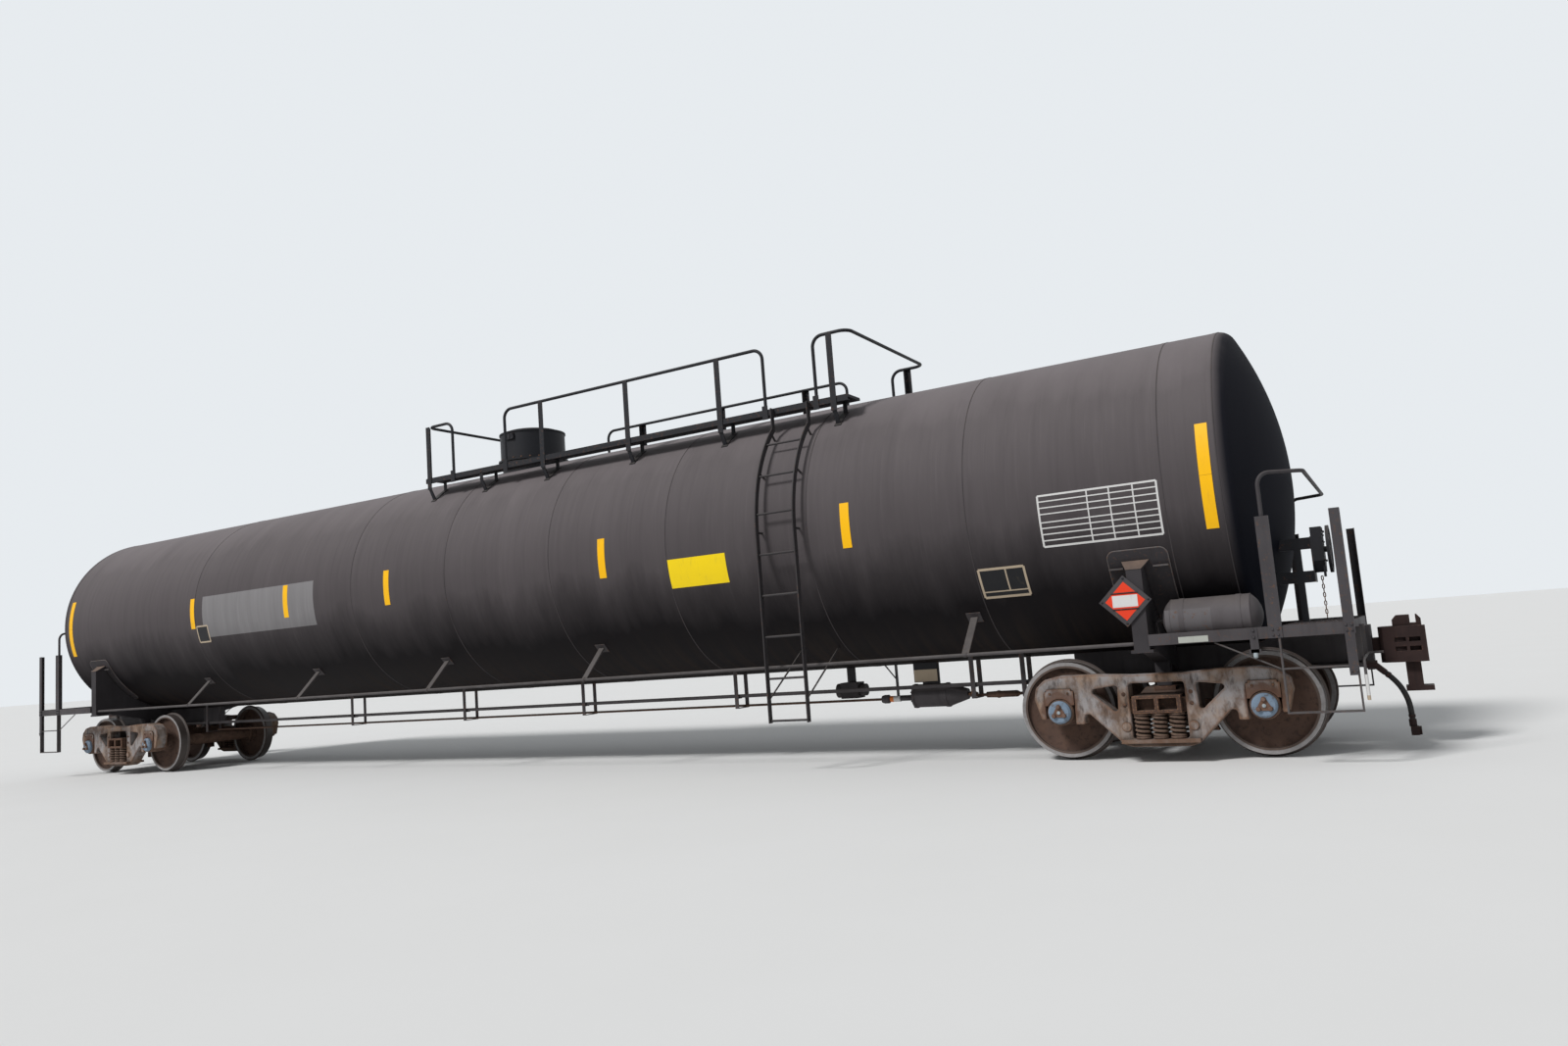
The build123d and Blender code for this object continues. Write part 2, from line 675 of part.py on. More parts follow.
# Sill steps: two treads between straps under each corner, with a diagonal brace
STEP_START = PLATFORM_END - STEP_LENGTH
with BuildPart() as sill_steps:
    hang = SIDE_SILL_LOW - SEAT_GAP
    foot = RAIL + STEP_FOOT
    across = (-HALF_WIDTH, -HALF_WIDTH + STEP_DEPTH)
    for x in (STEP_START, PLATFORM_END - STEP_BAR):
        block((x, x + STEP_BAR), across, (foot, hang))
    for z in (foot, foot + STEP_PITCH):
        block((STEP_START + 1, PLATFORM_END - 1), across, (z, z + STEP_BAR))
    middle = -HALF_WIDTH + STEP_DEPTH / 2
    rod(
        (STEP_START - STEP_BRACE_RUN, middle, hang - STEP_BAR / 2),
        (STEP_START + STEP_BAR / 2, middle, foot + STEP_PITCH),
        STEP_BAR / 2,
    )
    mirror(about=Plane.XZ)
    mirror(about=Plane.YZ)
write(sill_steps.part, "sill_steps")

# Side handrails along the tank's lower sides
RAIL_Y = TANK_RADIUS - SIDE_RAIL_INSET
BRACKET_FOOT = TANK_RADIUS - BRACKET_FOOT_INSET
BRACKET_PLACES = [
    SIDE_RAIL_BRACKET_START + count * SIDE_RAIL_BRACKET_PITCH
    for count in range(SIDE_RAIL_BRACKETS)
] + [SIDE_RAIL_LAST_BRACKET]


def tank_strut(x, start, foot, width):
    """A flat bar from a point beside the tank, given across and up, to the tank that far out."""
    across, height = start
    foot_z = tank_height(foot)
    half = BRACKET_THICKNESS / 2
    plate(
        cross_plane(x=x),
        [
            (across, height - half),
            (across, height + half),
            (-foot, foot_z + 2 * half),
            (-foot + 2 * half, foot_z),
        ],
        width,
    )


with BuildPart() as side_handrails:
    rail_z = RAIL + SIDE_RAIL_HEIGHT
    rail_end = TRUCK_X - BODY_BOLSTER_WIDTH / 2 - SEAT_GAP
    rod((-rail_end, -RAIL_Y, rail_z), (rail_end, -RAIL_Y, rail_z), HANDRAIL_DIAMETER / 2)
    for x in BRACKET_PLACES:
        tank_strut(x, (-RAIL_Y, rail_z), BRACKET_FOOT, BRACKET_WIDTH)
    add(tank_seat, mode=Mode.SUBTRACT)
    mirror(about=Plane.XZ)
write(side_handrails.part, "side_handrails")

# Side ladders: straight below, then bent over the tank, and upright again at the platform
LADDER_REACH = TANK_RADIUS + LADDER_STANDOFF
LADDER_IN = LADDER_REACH - LADDER_BAR_WIDTH / 2
LADDER_OUT = LADDER_REACH + LADDER_BAR_WIDTH / 2
LADDER_TOP_IN = DECK_HALF_WIDTH + SEAT_GAP
LADDER_TOP_OUT = LADDER_TOP_IN + LADDER_BAR_WIDTH
LEAN_IN = degrees(acos(LADDER_TOP_IN / LADDER_IN))
LEAN_OUT = degrees(acos(LADDER_TOP_OUT / LADDER_OUT))
STANDOFF_ANGLES = (0, LEAN_IN / 2, LEAN_IN - 3)
with BuildPart() as side_ladders:
    foot = RAIL + LADDER_FOOT - TANK_Z
    head = TOP_DECK_Z - TANK_Z
    for edge in SIDES:
        x = LADDER_X + edge * LADDER_WIDTH / 2
        with BuildSketch(cross_plane(x=x, z=TANK_Z)) as stringer:
            with BuildLine():
                curve = CenterArc((0, 0), LADDER_OUT, 180, -LEAN_OUT)
                back = CenterArc((0, 0), LADDER_IN, 180, -LEAN_IN)
                Polyline(curve @ 1, (-LADDER_TOP_OUT, head), (-LADDER_TOP_IN, head), back @ 1)
                Polyline(curve @ 0, (-LADDER_OUT, foot), (-LADDER_IN, foot), back @ 0)
            make_face()
        extrude(stringer.sketch, amount=LADDER_BAR_THICKNESS / 2, both=True)
        # Standoffs from the tank, and a brace up to it from the straight part
        for angle in STANDOFF_ANGLES:
            run = Vector(0, -cos(radians(angle)), sin(radians(angle)))
            axis = Vector(x, 0, TANK_Z)
            start = axis + run * (TANK_RADIUS - LADDER_BAR_THICKNESS)
            end = axis + run * (LADDER_IN + 1)
            rod(tuple(start), tuple(end), LADDER_BAR_THICKNESS)
        brace = (-LADDER_IN - 1, RAIL + LADDER_BRACE_HEIGHT)
        tank_strut(x, brace, LADDER_BRACE_FOOT, LADDER_BAR_THICKNESS)
    half = LADDER_WIDTH / 2 + LADDER_BAR_THICKNESS
    straight = -foot - RUNG_DIAMETER
    bent = radians(LEAN_OUT) * LADDER_REACH
    for count in range(int((straight + bent) / RUNG_PITCH) + 1):
        rise = count * RUNG_PITCH
        angle = max(0.0, rise - straight) / LADDER_REACH
        y = -LADDER_REACH * cos(angle)
        z = TANK_Z + LADDER_REACH * sin(angle) + min(0.0, rise - straight)
        rod((LADDER_X - half, y, z), (LADDER_X + half, y, z), RUNG_DIAMETER / 2)
    add(tank_seat, mode=Mode.SUBTRACT)
    mirror(about=Plane.XZ)
write(side_ladders.part, "side_ladders")

# Top platform: on each side of the crown a channel, a walkway and brackets down to the tank
DECK_POSTS = (DECK_START + DECK_POST_WIDTH / 2, *DECK_MIDDLE_POSTS, GATE_END + DECK_POST_SETBACK)
DECK_LEGS = (HOUSING_GATE_START, HOUSING_GATE_END, GATE_START, GATE_END)
CHANNEL_LOW = TOP_DECK_Z - DECK_CHANNEL_DEPTH
FOOT_IN = DECK_HALF_WIDTH - DECK_FOOT_REACH
FOOT_OUT = DECK_HALF_WIDTH - DECK_FOOT_DROP
with BuildPart() as deck_pads:
    for x in DECK_POSTS:
        block(
            (x - DECK_PAD_LENGTH / 2, x + DECK_PAD_LENGTH / 2),
            (-FOOT_OUT, -FOOT_IN),
            (tank_crown(FOOT_OUT) - DECK_CHANNEL_DEPTH, tank_crown(FOOT_IN) + DECK_CHANNEL_DEPTH),
        )
    add(tank_form(DECK_PAD_THICKNESS), mode=Mode.INTERSECT)

with BuildPart() as top_platform:
    channel(
        (DECK_START, DECK_END),
        -DECK_HALF_WIDTH,
        -DECK_HALF_WIDTH + DECK_CHANNEL_WIDTH,
        (CHANNEL_LOW, TOP_DECK_Z),
        DECK_CHANNEL_WALL,
    )
    block(
        (DECK_START, DECK_END),
        (-DECK_HALF_WIDTH + DECK_CHANNEL_WALL, -DECK_INNER),
        (TOP_DECK_Z - DECK_THICKNESS, TOP_DECK_Z),
    )
    for x in DECK_POSTS:
        plate(
            cross_plane(x=x),
            [
                (-DECK_HALF_WIDTH, CHANNEL_LOW + 1),
                (-FOOT_IN, CHANNEL_LOW + 1),
                (-FOOT_IN, tank_crown(FOOT_IN) - DECK_PAD_THICKNESS),
                (-FOOT_OUT, tank_crown(FOOT_OUT) - DECK_PAD_THICKNESS),
                (-DECK_HALF_WIDTH, CHANNEL_LOW - DECK_FOOT_DROP),
            ],
            DECK_CHANNEL_WALL,
        )
    # Tabs that hold the feet of the railing's legs
    for x in DECK_LEGS:
        block(
            (x - DECK_POST_WIDTH / 2, x + DECK_POST_WIDTH / 2),
            (-DECK_HALF_WIDTH - DECK_CHANNEL_WALL, -DECK_HALF_WIDTH),
            (CHANNEL_LOW, TOP_DECK_Z + DECK_POST_WIDTH),
        )
    add(deck_pads.part)
    add(tank_seat, mode=Mode.SUBTRACT)
    mirror(about=Plane.XZ)
write(top_platform.part, "top_platform")

# Railing round the top platform: a hoop at each end, a long rail on each side, and posts
RAIL_RADIUS = DECK_RAIL_DIAMETER / 2
with BuildPart() as platform_railing:
    top = TOP_DECK_Z + DECK_RAIL_RISE
    low = TOP_DECK_Z + SEAT_GAP
    y = DECK_HALF_WIDTH - SEAT_GAP - RAIL_RADIUS
    for leg, end in (
        (HOUSING_GATE_START, DECK_START + RAIL_RADIUS),
        (GATE_END, DECK_END - DECK_RAIL_SETBACK),
    ):
        corners = [(leg, -y, low), (leg, -y, top), (end, -y, top)]
        corners += [(end, y, top), (leg, y, top), (leg, y, low)]
        pipe(corners, RAIL_RADIUS, DECK_RAIL_BEND)
    for side in SIDES:
        start, end = HOUSING_GATE_END, GATE_START
        pipe(
            [
                (start, side * y, low),
                (start, side * y, top),
                (end, side * y, top),
                (end, side * y, low),
            ],
            RAIL_RADIUS,
            DECK_RAIL_BEND,
        )
        # Angle posts: one leg outside the channel, the other above the deck
        face = side * (DECK_HALF_WIDTH + SEAT_GAP)
        for x in DECK_POSTS:
            edges = (x - DECK_POST_WIDTH / 2, x + DECK_POST_WIDTH / 2)
            block(edges, (face, face + side * POST_WALL), (CHANNEL_LOW - DECK_FOOT_DROP, top))
            block(
                (edges[0], edges[0] + POST_WALL),
                (face + side * POST_WALL, face - side * DECK_POST_WIDTH),
                (low, top),
            )
write(platform_railing.part, "platform_railing")

# Valve housing: a nozzle on the crown, a bolted flange, and the drum with its hinge
HOUSING_RADIUS = HOUSING_DIAMETER / 2
COVER_TOP = HOUSING_FLOOR + HOUSING_FLANGE_THICKNESS
HINGE_Y = HOUSING_RADIUS + HINGE_REACH
HINGE_Z = HOUSING_RIM + HINGE_RISE
PIN_RADIUS = HINGE_PIN_DIAMETER / 2
with BuildPart() as valve_housing:
    ring = HOUSING_RADIUS + HOUSING_FLANGE_WIDTH
    rod(
        (HOUSING_X, 0, tank_crown(HOUSING_RADIUS)),
        (HOUSING_X, 0, COVER_TOP),
        HOUSING_RADIUS - HOUSING_WALL,
    )
    for low in (HOUSING_FLOOR - 1.5 * HOUSING_FLANGE_THICKNESS, HOUSING_FLOOR):
        rod((HOUSING_X, 0, low), (HOUSING_X, 0, low + HOUSING_FLANGE_THICKNESS), ring)
    rod((HOUSING_X, 0, COVER_TOP - 1), (HOUSING_X, 0, HOUSING_RIM), HOUSING_RADIUS)
    # Raised plate on the near side, below the rim
    block(
        (HOUSING_X - ACCESS_WIDTH / 2, HOUSING_X + ACCESS_WIDTH / 2),
        (-HOUSING_RADIUS - HOUSING_WALL, 0),
        (HOUSING_RIM - HOUSING_WALL - ACCESS_HEIGHT, HOUSING_RIM - HOUSING_WALL),
    )
    rod(
        (HOUSING_X, 0, COVER_TOP),
        (HOUSING_X, 0, HOUSING_RIM + 1),
        HOUSING_RADIUS - HOUSING_WALL,
        mode=Mode.SUBTRACT,
    )
    add(tank_seat, mode=Mode.SUBTRACT)
    for side in SIDES:
        plate(
            cross_plane(x=HOUSING_X + side * (HINGE_WIDTH + HINGE_PIN_DIAMETER) * 0.55),
            [
                (HOUSING_RADIUS - HOUSING_WALL / 2, HOUSING_RIM - 2 * HINGE_REACH),
                (HOUSING_RADIUS - HOUSING_WALL / 2, HOUSING_RIM - HINGE_REACH / 2),
                (HOUSING_RADIUS + HINGE_REACH / 2, HOUSING_RIM),
                (HOUSING_RADIUS + HINGE_REACH / 2, HINGE_Z + 1.5 * PIN_RADIUS),
                (HINGE_Y + 1.5 * PIN_RADIUS, HINGE_Z + 1.5 * PIN_RADIUS),
                (HINGE_Y + 1.5 * PIN_RADIUS, HOUSING_RIM - PIN_RADIUS),
            ],
            HINGE_PIN_DIAMETER,
        )
    pin_half = HINGE_WIDTH / 2 + 1.5 * HINGE_PIN_DIAMETER
    rod(
        (HOUSING_X - pin_half, HINGE_Y, HINGE_Z),
        (HOUSING_X + pin_half, HINGE_Y, HINGE_Z),
        PIN_RADIUS,
    )
write(valve_housing.part, "valve_housing")

# Lid of the valve housing
LID_LOW = HOUSING_RIM + SEAT_GAP
LID_RADIUS = HOUSING_RADIUS + LID_OVERHANG
with BuildPart() as housing_lid:
    with BuildSketch(side_plane(x=HOUSING_X, z=LID_LOW)):
        with BuildLine():
            Polyline(
                (0, 0),
                (LID_RADIUS, 0),
                (LID_RADIUS, LID_THICKNESS),
                (HOUSING_RADIUS - HOUSING_WALL, LID_THICKNESS),
                (HOUSING_RADIUS - HOUSING_WALL - 2 * LID_RISE, LID_THICKNESS + LID_RISE),
                (0, LID_THICKNESS + LID_RISE),
                close=True,
            )
        make_face()
    revolve(axis=Axis((HOUSING_X, 0, 0), (0, 0, 1)))
    hinge_half = HINGE_WIDTH / 2
    block(
        (HOUSING_X - hinge_half, HOUSING_X + hinge_half),
        (HOUSING_RADIUS - HINGE_REACH, HINGE_Y),
        (LID_LOW, HINGE_Z + HINGE_RISE),
    )
    rod(
        (HOUSING_X - hinge_half, HINGE_Y, HINGE_Z),
        (HOUSING_X + hinge_half, HINGE_Y, HINGE_Z),
        2 * PIN_RADIUS,
    )
    rod(
        (HOUSING_X - HINGE_WIDTH, HINGE_Y, HINGE_Z),
        (HOUSING_X + HINGE_WIDTH, HINGE_Y, HINGE_Z),
        PIN_RADIUS + PIN_GAP,
        mode=Mode.SUBTRACT,
    )
write(housing_lid.part, "housing_lid")

# Valves on the cover plate inside the housing
VALVES = (
    # along x, across y, height, radius
    (-215, 0, 220, 62),
    (215, 0, 220, 62),
    (0, -210, 250, 74),
    (0, 210, 200, 52),
    (0, 0, 170, 44),
)
with BuildPart() as valves:
    for along, across, height, radius in VALVES:
        x = HOUSING_X + along
        foot = COVER_TOP + SEAT_GAP
        neck = foot + height * 0.6
        rod((x, across, foot), (x, across, foot + VALVE_FLANGE), radius + VALVE_FLANGE)
        rod((x, across, foot), (x, across, neck), radius)
        rod((x, across, neck - 1), (x, across, foot + height), radius / 2)
        rod((x, across, foot + height - VALVE_FLANGE), (x, across, foot + height), radius * 0.8)
write(valves.part, "valves")

# Hand brake: its stand between the tank's head and the platform, and its case with the wheel
BRAKE_X = PLATFORM_END - HAND_BRAKE_SETBACK
BRAKE_Z = DECK_Z + HAND_BRAKE_RISE
with BuildPart() as handbrake_stand:
    arm_half = BRAKE_ARM_DEPTH / 2
    upper = DECK_Z + BRAKE_ARM_RISE
    lower = upper - BRAKE_ARM_PITCH
    near = HAND_BRAKE_Y - BRAKE_ARM_WIDTH / 2
    far = HAND_BRAKE_Y + BRAKE_ARM_WIDTH / 2
    for arm in (upper, lower):
        channel((BARREL_END, BRAKE_X), near, far, (arm - arm_half, arm + arm_half), POST_WALL)
    block(
        (BRAKE_X - POST_WALL, BRAKE_X),
        (HAND_BRAKE_Y - BRAKE_CASE_WIDTH / 2, HAND_BRAKE_Y + BRAKE_CASE_WIDTH / 2),
        (lower - arm_half, upper + arm_half),
    )
    post = PLATFORM_END - BRAKE_POST_SETBACK
    block(
        (post - BRAKE_POST_WIDTH / 2, post + BRAKE_POST_WIDTH / 2),
        (near + 1, far),
        (DECK_Z + SEAT_GAP, upper + arm_half),
    )
    add(tank_seat, mode=Mode.SUBTRACT)
write(handbrake_stand.part, "handbrake_stand")

with BuildPart() as handbrake_gear:
    case_front = BRAKE_X + BRAKE_CASE_DEPTH
    plate(
        cross_plane((BRAKE_X + SEAT_GAP + case_front) / 2, HAND_BRAKE_Y, BRAKE_Z),
        [
            (-BRAKE_CASE_WIDTH / 2, -BRAKE_CASE_HEIGHT / 4),
            (-BRAKE_CASE_WIDTH / 2, BRAKE_CASE_HEIGHT / 2),
            (BRAKE_CASE_WIDTH / 2, BRAKE_CASE_HEIGHT / 2),
            (BRAKE_CASE_WIDTH / 2, -BRAKE_CASE_HEIGHT / 4),
            (BRAKE_CASE_WIDTH / 4, -BRAKE_CASE_HEIGHT / 2),
            (-BRAKE_CASE_WIDTH / 4, -BRAKE_CASE_HEIGHT / 2),
        ],
        BRAKE_CASE_DEPTH - SEAT_GAP,
    )
    hub_x = BRAKE_X + HAND_WHEEL_SETBACK
    rod(
        (case_front - 1, HAND_BRAKE_Y, BRAKE_Z),
        (hub_x + HAND_WHEEL_RIM, HAND_BRAKE_Y, BRAKE_Z),
        HAND_WHEEL_RIM,
    )
    with BuildSketch(cross_plane(hub_x, HAND_BRAKE_Y, BRAKE_Z)) as wheel:
        Circle(HAND_WHEEL_DIAMETER / 2)
        Circle(HAND_WHEEL_DIAMETER / 2 - HAND_WHEEL_RIM, mode=Mode.SUBTRACT)
        with PolarLocations(0, 2, start_angle=45):
            Rectangle(HAND_WHEEL_DIAMETER - HAND_WHEEL_RIM, HAND_WHEEL_RIM)
    extrude(wheel.sketch, amount=HAND_WHEEL_RIM)
    # Release handle
    handle_y = HAND_BRAKE_Y - BRAKE_CASE_WIDTH / 3
    handle_top = BRAKE_Z - BRAKE_CASE_HEIGHT / 4
    rod(
        (case_front - LEVER_DIAMETER / 2, handle_y, handle_top),
        (case_front - LEVER_DIAMETER / 2, handle_y, handle_top - RELEASE_LENGTH),
        LEVER_DIAMETER / 2,
    )
write(handbrake_gear.part, "handbrake_gear")

# Air reservoir beside the tank, on the end platform's cross bars
RESERVOIR_Y = -HALF_WIDTH + RESERVOIR_Y_INSET
RESERVOIR_Z = RAIL + RESERVOIR_HEIGHT
with BuildPart() as air_reservoir:
    radius = RESERVOIR_DIAMETER / 2
    dish = (radius**2 + RESERVOIR_DOME**2) / (2 * RESERVOIR_DOME)
    join = degrees(atan2(radius, dish - RESERVOIR_DOME))
    with BuildSketch(side_plane(y=RESERVOIR_Y, z=RESERVOIR_Z)):
        with BuildLine():
            start = CenterArc((RESERVOIR_START + dish, 0), dish, 180 - join, join)
            end = CenterArc((RESERVOIR_END - dish, 0), dish, 0, join)
            Line(start @ 0, end @ 1)
            Line(start @ 1, end @ 0)
        make_face()
    revolve(axis=Axis((0, RESERVOIR_Y, RESERVOIR_Z), (1, 0, 0)))
    for x in RESERVOIR_LEGS:
        block(
            (x - CROSS_BAR_WIDTH / 2, x + CROSS_BAR_WIDTH / 2),
            (RESERVOIR_Y - radius * 0.6, RESERVOIR_Y + radius * 0.6),
            (SIDE_SILL_LOW + CROSS_BAR_THICKNESS + SEAT_GAP, RESERVOIR_Z - radius * 0.7),
        )
write(air_reservoir.part, "air_reservoir")

# Brake cylinder under the tank
with BuildPart() as brake_cylinder:
    z = RAIL + CYLINDER_HEIGHT
    end = CYLINDER_START + CYLINDER_LENGTH
    radius = CYLINDER_DIAMETER / 2
    rod((CYLINDER_START, CYLINDER_Y, z), (end, CYLINDER_Y, z), radius)
    with Locations(Plane(origin=(end, CYLINDER_Y, z), z_dir=(1, 0, 0)).location):
        Cone(radius, 2 * ROD_DIAMETER, CYLINDER_CONE, align=(Align.CENTER, Align.CENTER, Align.MIN))
    # Hanger plate up to the tank
    block(
        (CYLINDER_START + CYLINDER_LENGTH / 4, end - CYLINDER_LENGTH / 4),
        (CYLINDER_Y - SILL_WALL / 2, CYLINDER_Y + SILL_WALL / 2),
        (z + radius / 2, tank_height(CYLINDER_Y) + SILL_WALL),
    )
    add(tank_seat, mode=Mode.SUBTRACT)
write(brake_cylinder.part, "brake_cylinder")

# Control valve on its pipe bracket
with BuildPart() as control_valve:
    z = RAIL + VALVE_HEIGHT
    half = VALVE_DEPTH / 2
    block(
        (VALVE_X - SILL_WALL / 2, VALVE_X + SILL_WALL / 2),
        (VALVE_Y - half, VALVE_Y + half),
        (z - half, tank_height(VALVE_Y) + SILL_WALL),
    )
    rod((VALVE_X - VALVE_DEPTH, VALVE_Y, z), (VALVE_X, VALVE_Y, z), half * 0.9)
    rod((VALVE_X, VALVE_Y, z), (VALVE_X + VALVE_DEPTH, VALVE_Y, z), half * 0.75)
    for way in SIDES:
        block(
            (VALVE_X, VALVE_X + way * VALVE_DEPTH * 0.6),
            (VALVE_Y - half, VALVE_Y + half),
            (z - half, z + half),
        )
    add(tank_seat, mode=Mode.SUBTRACT)
write(control_valve.part, "control_valve")

# Train pipe and its hangers, the whole length under the tank
HANGERS = (ROD_SETBACK - TRUCK_X, -3350, -1000, 1150, 3500, TRUCK_X - 1975, TRUCK_X - ROD_SETBACK)
HANGER_NEAR = PIPE_Y - PIPE_DIAMETER
HANGER_FAR = ROD_Y + PIPE_DIAMETER
HANGER_FLOOR = ROD_Z - ROD_DIAMETER / 2 - SEAT_GAP
PIPE_REST = PIPE_Z - PIPE_DIAMETER / 2 - SEAT_GAP
PIPE_END = STRIKER_FACE - PIPE_SETBACK
with BuildPart() as train_pipe:
    rod((-PIPE_END, PIPE_Y, PIPE_Z), (PIPE_END, PIPE_Y, PIPE_Z), PIPE_DIAMETER / 2)
    for x in HANGERS:
        strap = (x - HANGER_WIDTH / 2, x + HANGER_WIDTH / 2)
        for y in (HANGER_NEAR, HANGER_FAR - HANGER_THICKNESS):
            block(
                strap,
                (y, y + HANGER_THICKNESS),
                (HANGER_FLOOR - 1, tank_height(HANGER_NEAR) + HANGER_WIDTH),
            )
        block(strap, (HANGER_NEAR, HANGER_FAR), (HANGER_FLOOR - HANGER_THICKNESS, HANGER_FLOOR))
        block(
            strap,
            (HANGER_NEAR, PIPE_Y + PIPE_DIAMETER),
            (PIPE_REST - HANGER_THICKNESS, PIPE_REST),
        )
    add(tank_seat, mode=Mode.SUBTRACT)
write(train_pipe.part, "train_pipe")

# Brake rigging: the rod from the cylinder towards the truck at end a
with BuildPart() as brake_rigging:
    rod_end = TRUCK_X - ROD_SETBACK
    rod((-rod_end, ROD_Y, ROD_Z), (CYLINDER_START - SEAT_GAP, ROD_Y, ROD_Z), ROD_DIAMETER / 2)
write(brake_rigging.part, "brake_rigging")

# Placard boards: a diamond on each side, beside the bolster at that side's right
with BuildPart() as placard_boards:
    for side in SIDES:
        x = -side * (TRUCK_X - PLACARD_SETBACK)
        z = RAIL + PLACARD_HEIGHT
        back = BOLSTER_FACE + PLACARD_STANDOFF
        plate(
            side_plane(x=x, y=side * (back + PLACARD_THICKNESS / 2), z=z),
            [(-PLACARD_HALF, 0), (0, PLACARD_HALF), (PLACARD_HALF, 0), (0, -PLACARD_HALF)],
            PLACARD_THICKNESS,
        )
        block(
            (-side * TRUCK_X - PLACARD_STANDOFF, -side * TRUCK_X + PLACARD_STANDOFF),
            (side * (BOLSTER_FACE + SEAT_GAP), side * back),
            (z - PLACARD_HALF / 3, z + PLACARD_HALF / 3),
        )
write(placard_boards.part, "placard_boards")

# Uncoupling levers across the near half of end b and the far half of end a
with BuildPart() as uncoupling_levers:
    z = RAIL + LEVER_HEIGHT
    handle_y = HALF_WIDTH - 2 * LEVER_DIAMETER
    inner_y = SILL_EDGE + 3 * LEVER_DIAMETER
    for name, way in ENDS:
        x = way * (PLATFORM_END + LEVER_AHEAD)
        pipe(
            [
                (x, -way * handle_y, z - LEVER_DROP),
                (x, -way * handle_y, z),
                (x, -way * inner_y, z),
                (x + way * LEVER_REACH, -way * inner_y, z),
            ],
            LEVER_DIAMETER / 2,
            2 * LEVER_DIAMETER,
        )
        # Straps that hang the lever from the end sill
        for y in (handle_y - 4 * LEVER_DIAMETER, inner_y + 4 * LEVER_DIAMETER):
            block(
                (way * (PLATFORM_END + SEAT_GAP), x),
                (-way * y, -way * (y + LEVER_DIAMETER)),
                (z - LEVER_DIAMETER / 2, SIDE_SILL_LOW + PLATFORM_SILL_DEPTH / 2),
            )
write(uncoupling_levers.part, "uncoupling_levers")

# Angle cocks at both ends of the train pipe
COCK_X = PIPE_END + SEAT_GAP
HOSE_RUN = Vector(1, 0, -1).normalized()
ELBOW = Vector(COCK_X + COCK_LENGTH - COCK_SPOUT / 2, PIPE_Y, PIPE_Z)
SPOUT_END = ELBOW + HOSE_RUN * COCK_REACH
with BuildPart() as angle_cocks:
    for name, way in ENDS:
        elbow = (way * ELBOW.X, PIPE_Y, PIPE_Z)
        tip = (way * SPOUT_END.X, PIPE_Y, SPOUT_END.Z)
        rod(
            (way * COCK_X, PIPE_Y, PIPE_Z),
            (way * (COCK_X + COCK_LENGTH), PIPE_Y, PIPE_Z),
            COCK_DIAMETER / 2,
        )
        rod(elbow, tip, COCK_SPOUT / 2)
write(angle_cocks.part, "angle_cocks")

# Air hose hanging from the angle cock at end b, and the coupling at its free end
hose_start = SPOUT_END + HOSE_RUN * SEAT_GAP
HOSE_DROP = hose_start + HOSE_RUN * HOSE_STRAIGHT
HOSE_ROUTE = [
    tuple(hose_start),
    tuple(HOSE_DROP),
    (HOSE_DROP.X + 60, PIPE_Y + 3, HOSE_DROP.Z - 130),
    (HOSE_DROP.X + 78, PIPE_Y + 2, HOSE_DROP.Z - 240),
    (HOSE_DROP.X + 78, PIPE_Y + 2, HOSE_DROP.Z - 330),
]
with BuildPart() as air_hose:
    pipe(HOSE_ROUTE, HOSE_DIAMETER / 2, HOSE_BEND)
write(air_hose.part, "air_hose")

with BuildPart() as hose_coupling:
    x, y, z = HOSE_ROUTE[-1]
    ferrule_end = z - HOSE_FERRULE
    rod((x, y, z - SEAT_GAP), (x, y, ferrule_end), HOSE_DIAMETER * 0.65)
    block(
        (x - HOSE_DIAMETER / 2, x + HOSE_DIAMETER * 0.9),
        (y - HOSE_DIAMETER, y + HOSE_DIAMETER * 0.65),
        (ferrule_end - GLAD_HAND_DROP, ferrule_end + 1),
    )
    rod(
        (x + HOSE_DIAMETER * 0.2, y, ferrule_end - GLAD_HAND_DROP / 2),
        (x + HOSE_DIAMETER * 1.3, y, ferrule_end - GLAD_HAND_DROP / 2),
        GLAD_HAND_DROP / 2,
    )
write(hose_coupling.part, "hose_coupling")

# Couplers, with a shelf above and below the head, and their knuckles
HEAD_PLAN = (
    # ahead of the pulling face, towards the knuckle's side
    (-HEAD_BACK, SHANK_WIDTH / 2),
    (-262, 150),
    (-205, 190),
    (-60, 190),
    (-40, 60),
    (-128, 14),
    (-128, -30),
    (-70, -62),
    (-10, -120),
    (58, -156),
    (86, -194),
    (40, -214),
    (-150, -186),
    (-250, -150),
    (-HEAD_BACK, -SHANK_WIDTH / 2),
)
KNUCKLE_PLAN = (
    # ahead of the pulling face, towards the knuckle's side
    (-KNUCKLE_PIN_SETBACK, KNUCKLE_PIN_OFFSET + KNUCKLE_HUB_RADIUS),
    (-40, 168),
    (-6, 120),
    (0, 60),
    (-4, -26),
    (-32, -52),
    (-70, -44),
    (-78, 0),
    (-92, 40),
    (-KNUCKLE_PIN_SETBACK, KNUCKLE_PIN_OFFSET - 40),
)
KNUCKLE_ROOM = (
    # the space that the knuckle sweeps through as it opens
    (-150, 215),
    (-30, 215),
    (60, -60),
    (-128, -60),
    (-150, 40),
)
TOP_SHELF = (
    # ahead of the pulling face, above the head: seen from the side
    (-164, -1),
    (-164, TOP_SHELF_RISE * 0.6),
    (-130, TOP_SHELF_RISE),
    (34, TOP_SHELF_RISE),
    (63, TOP_SHELF_RISE * 0.6),
    (63, -1),
)
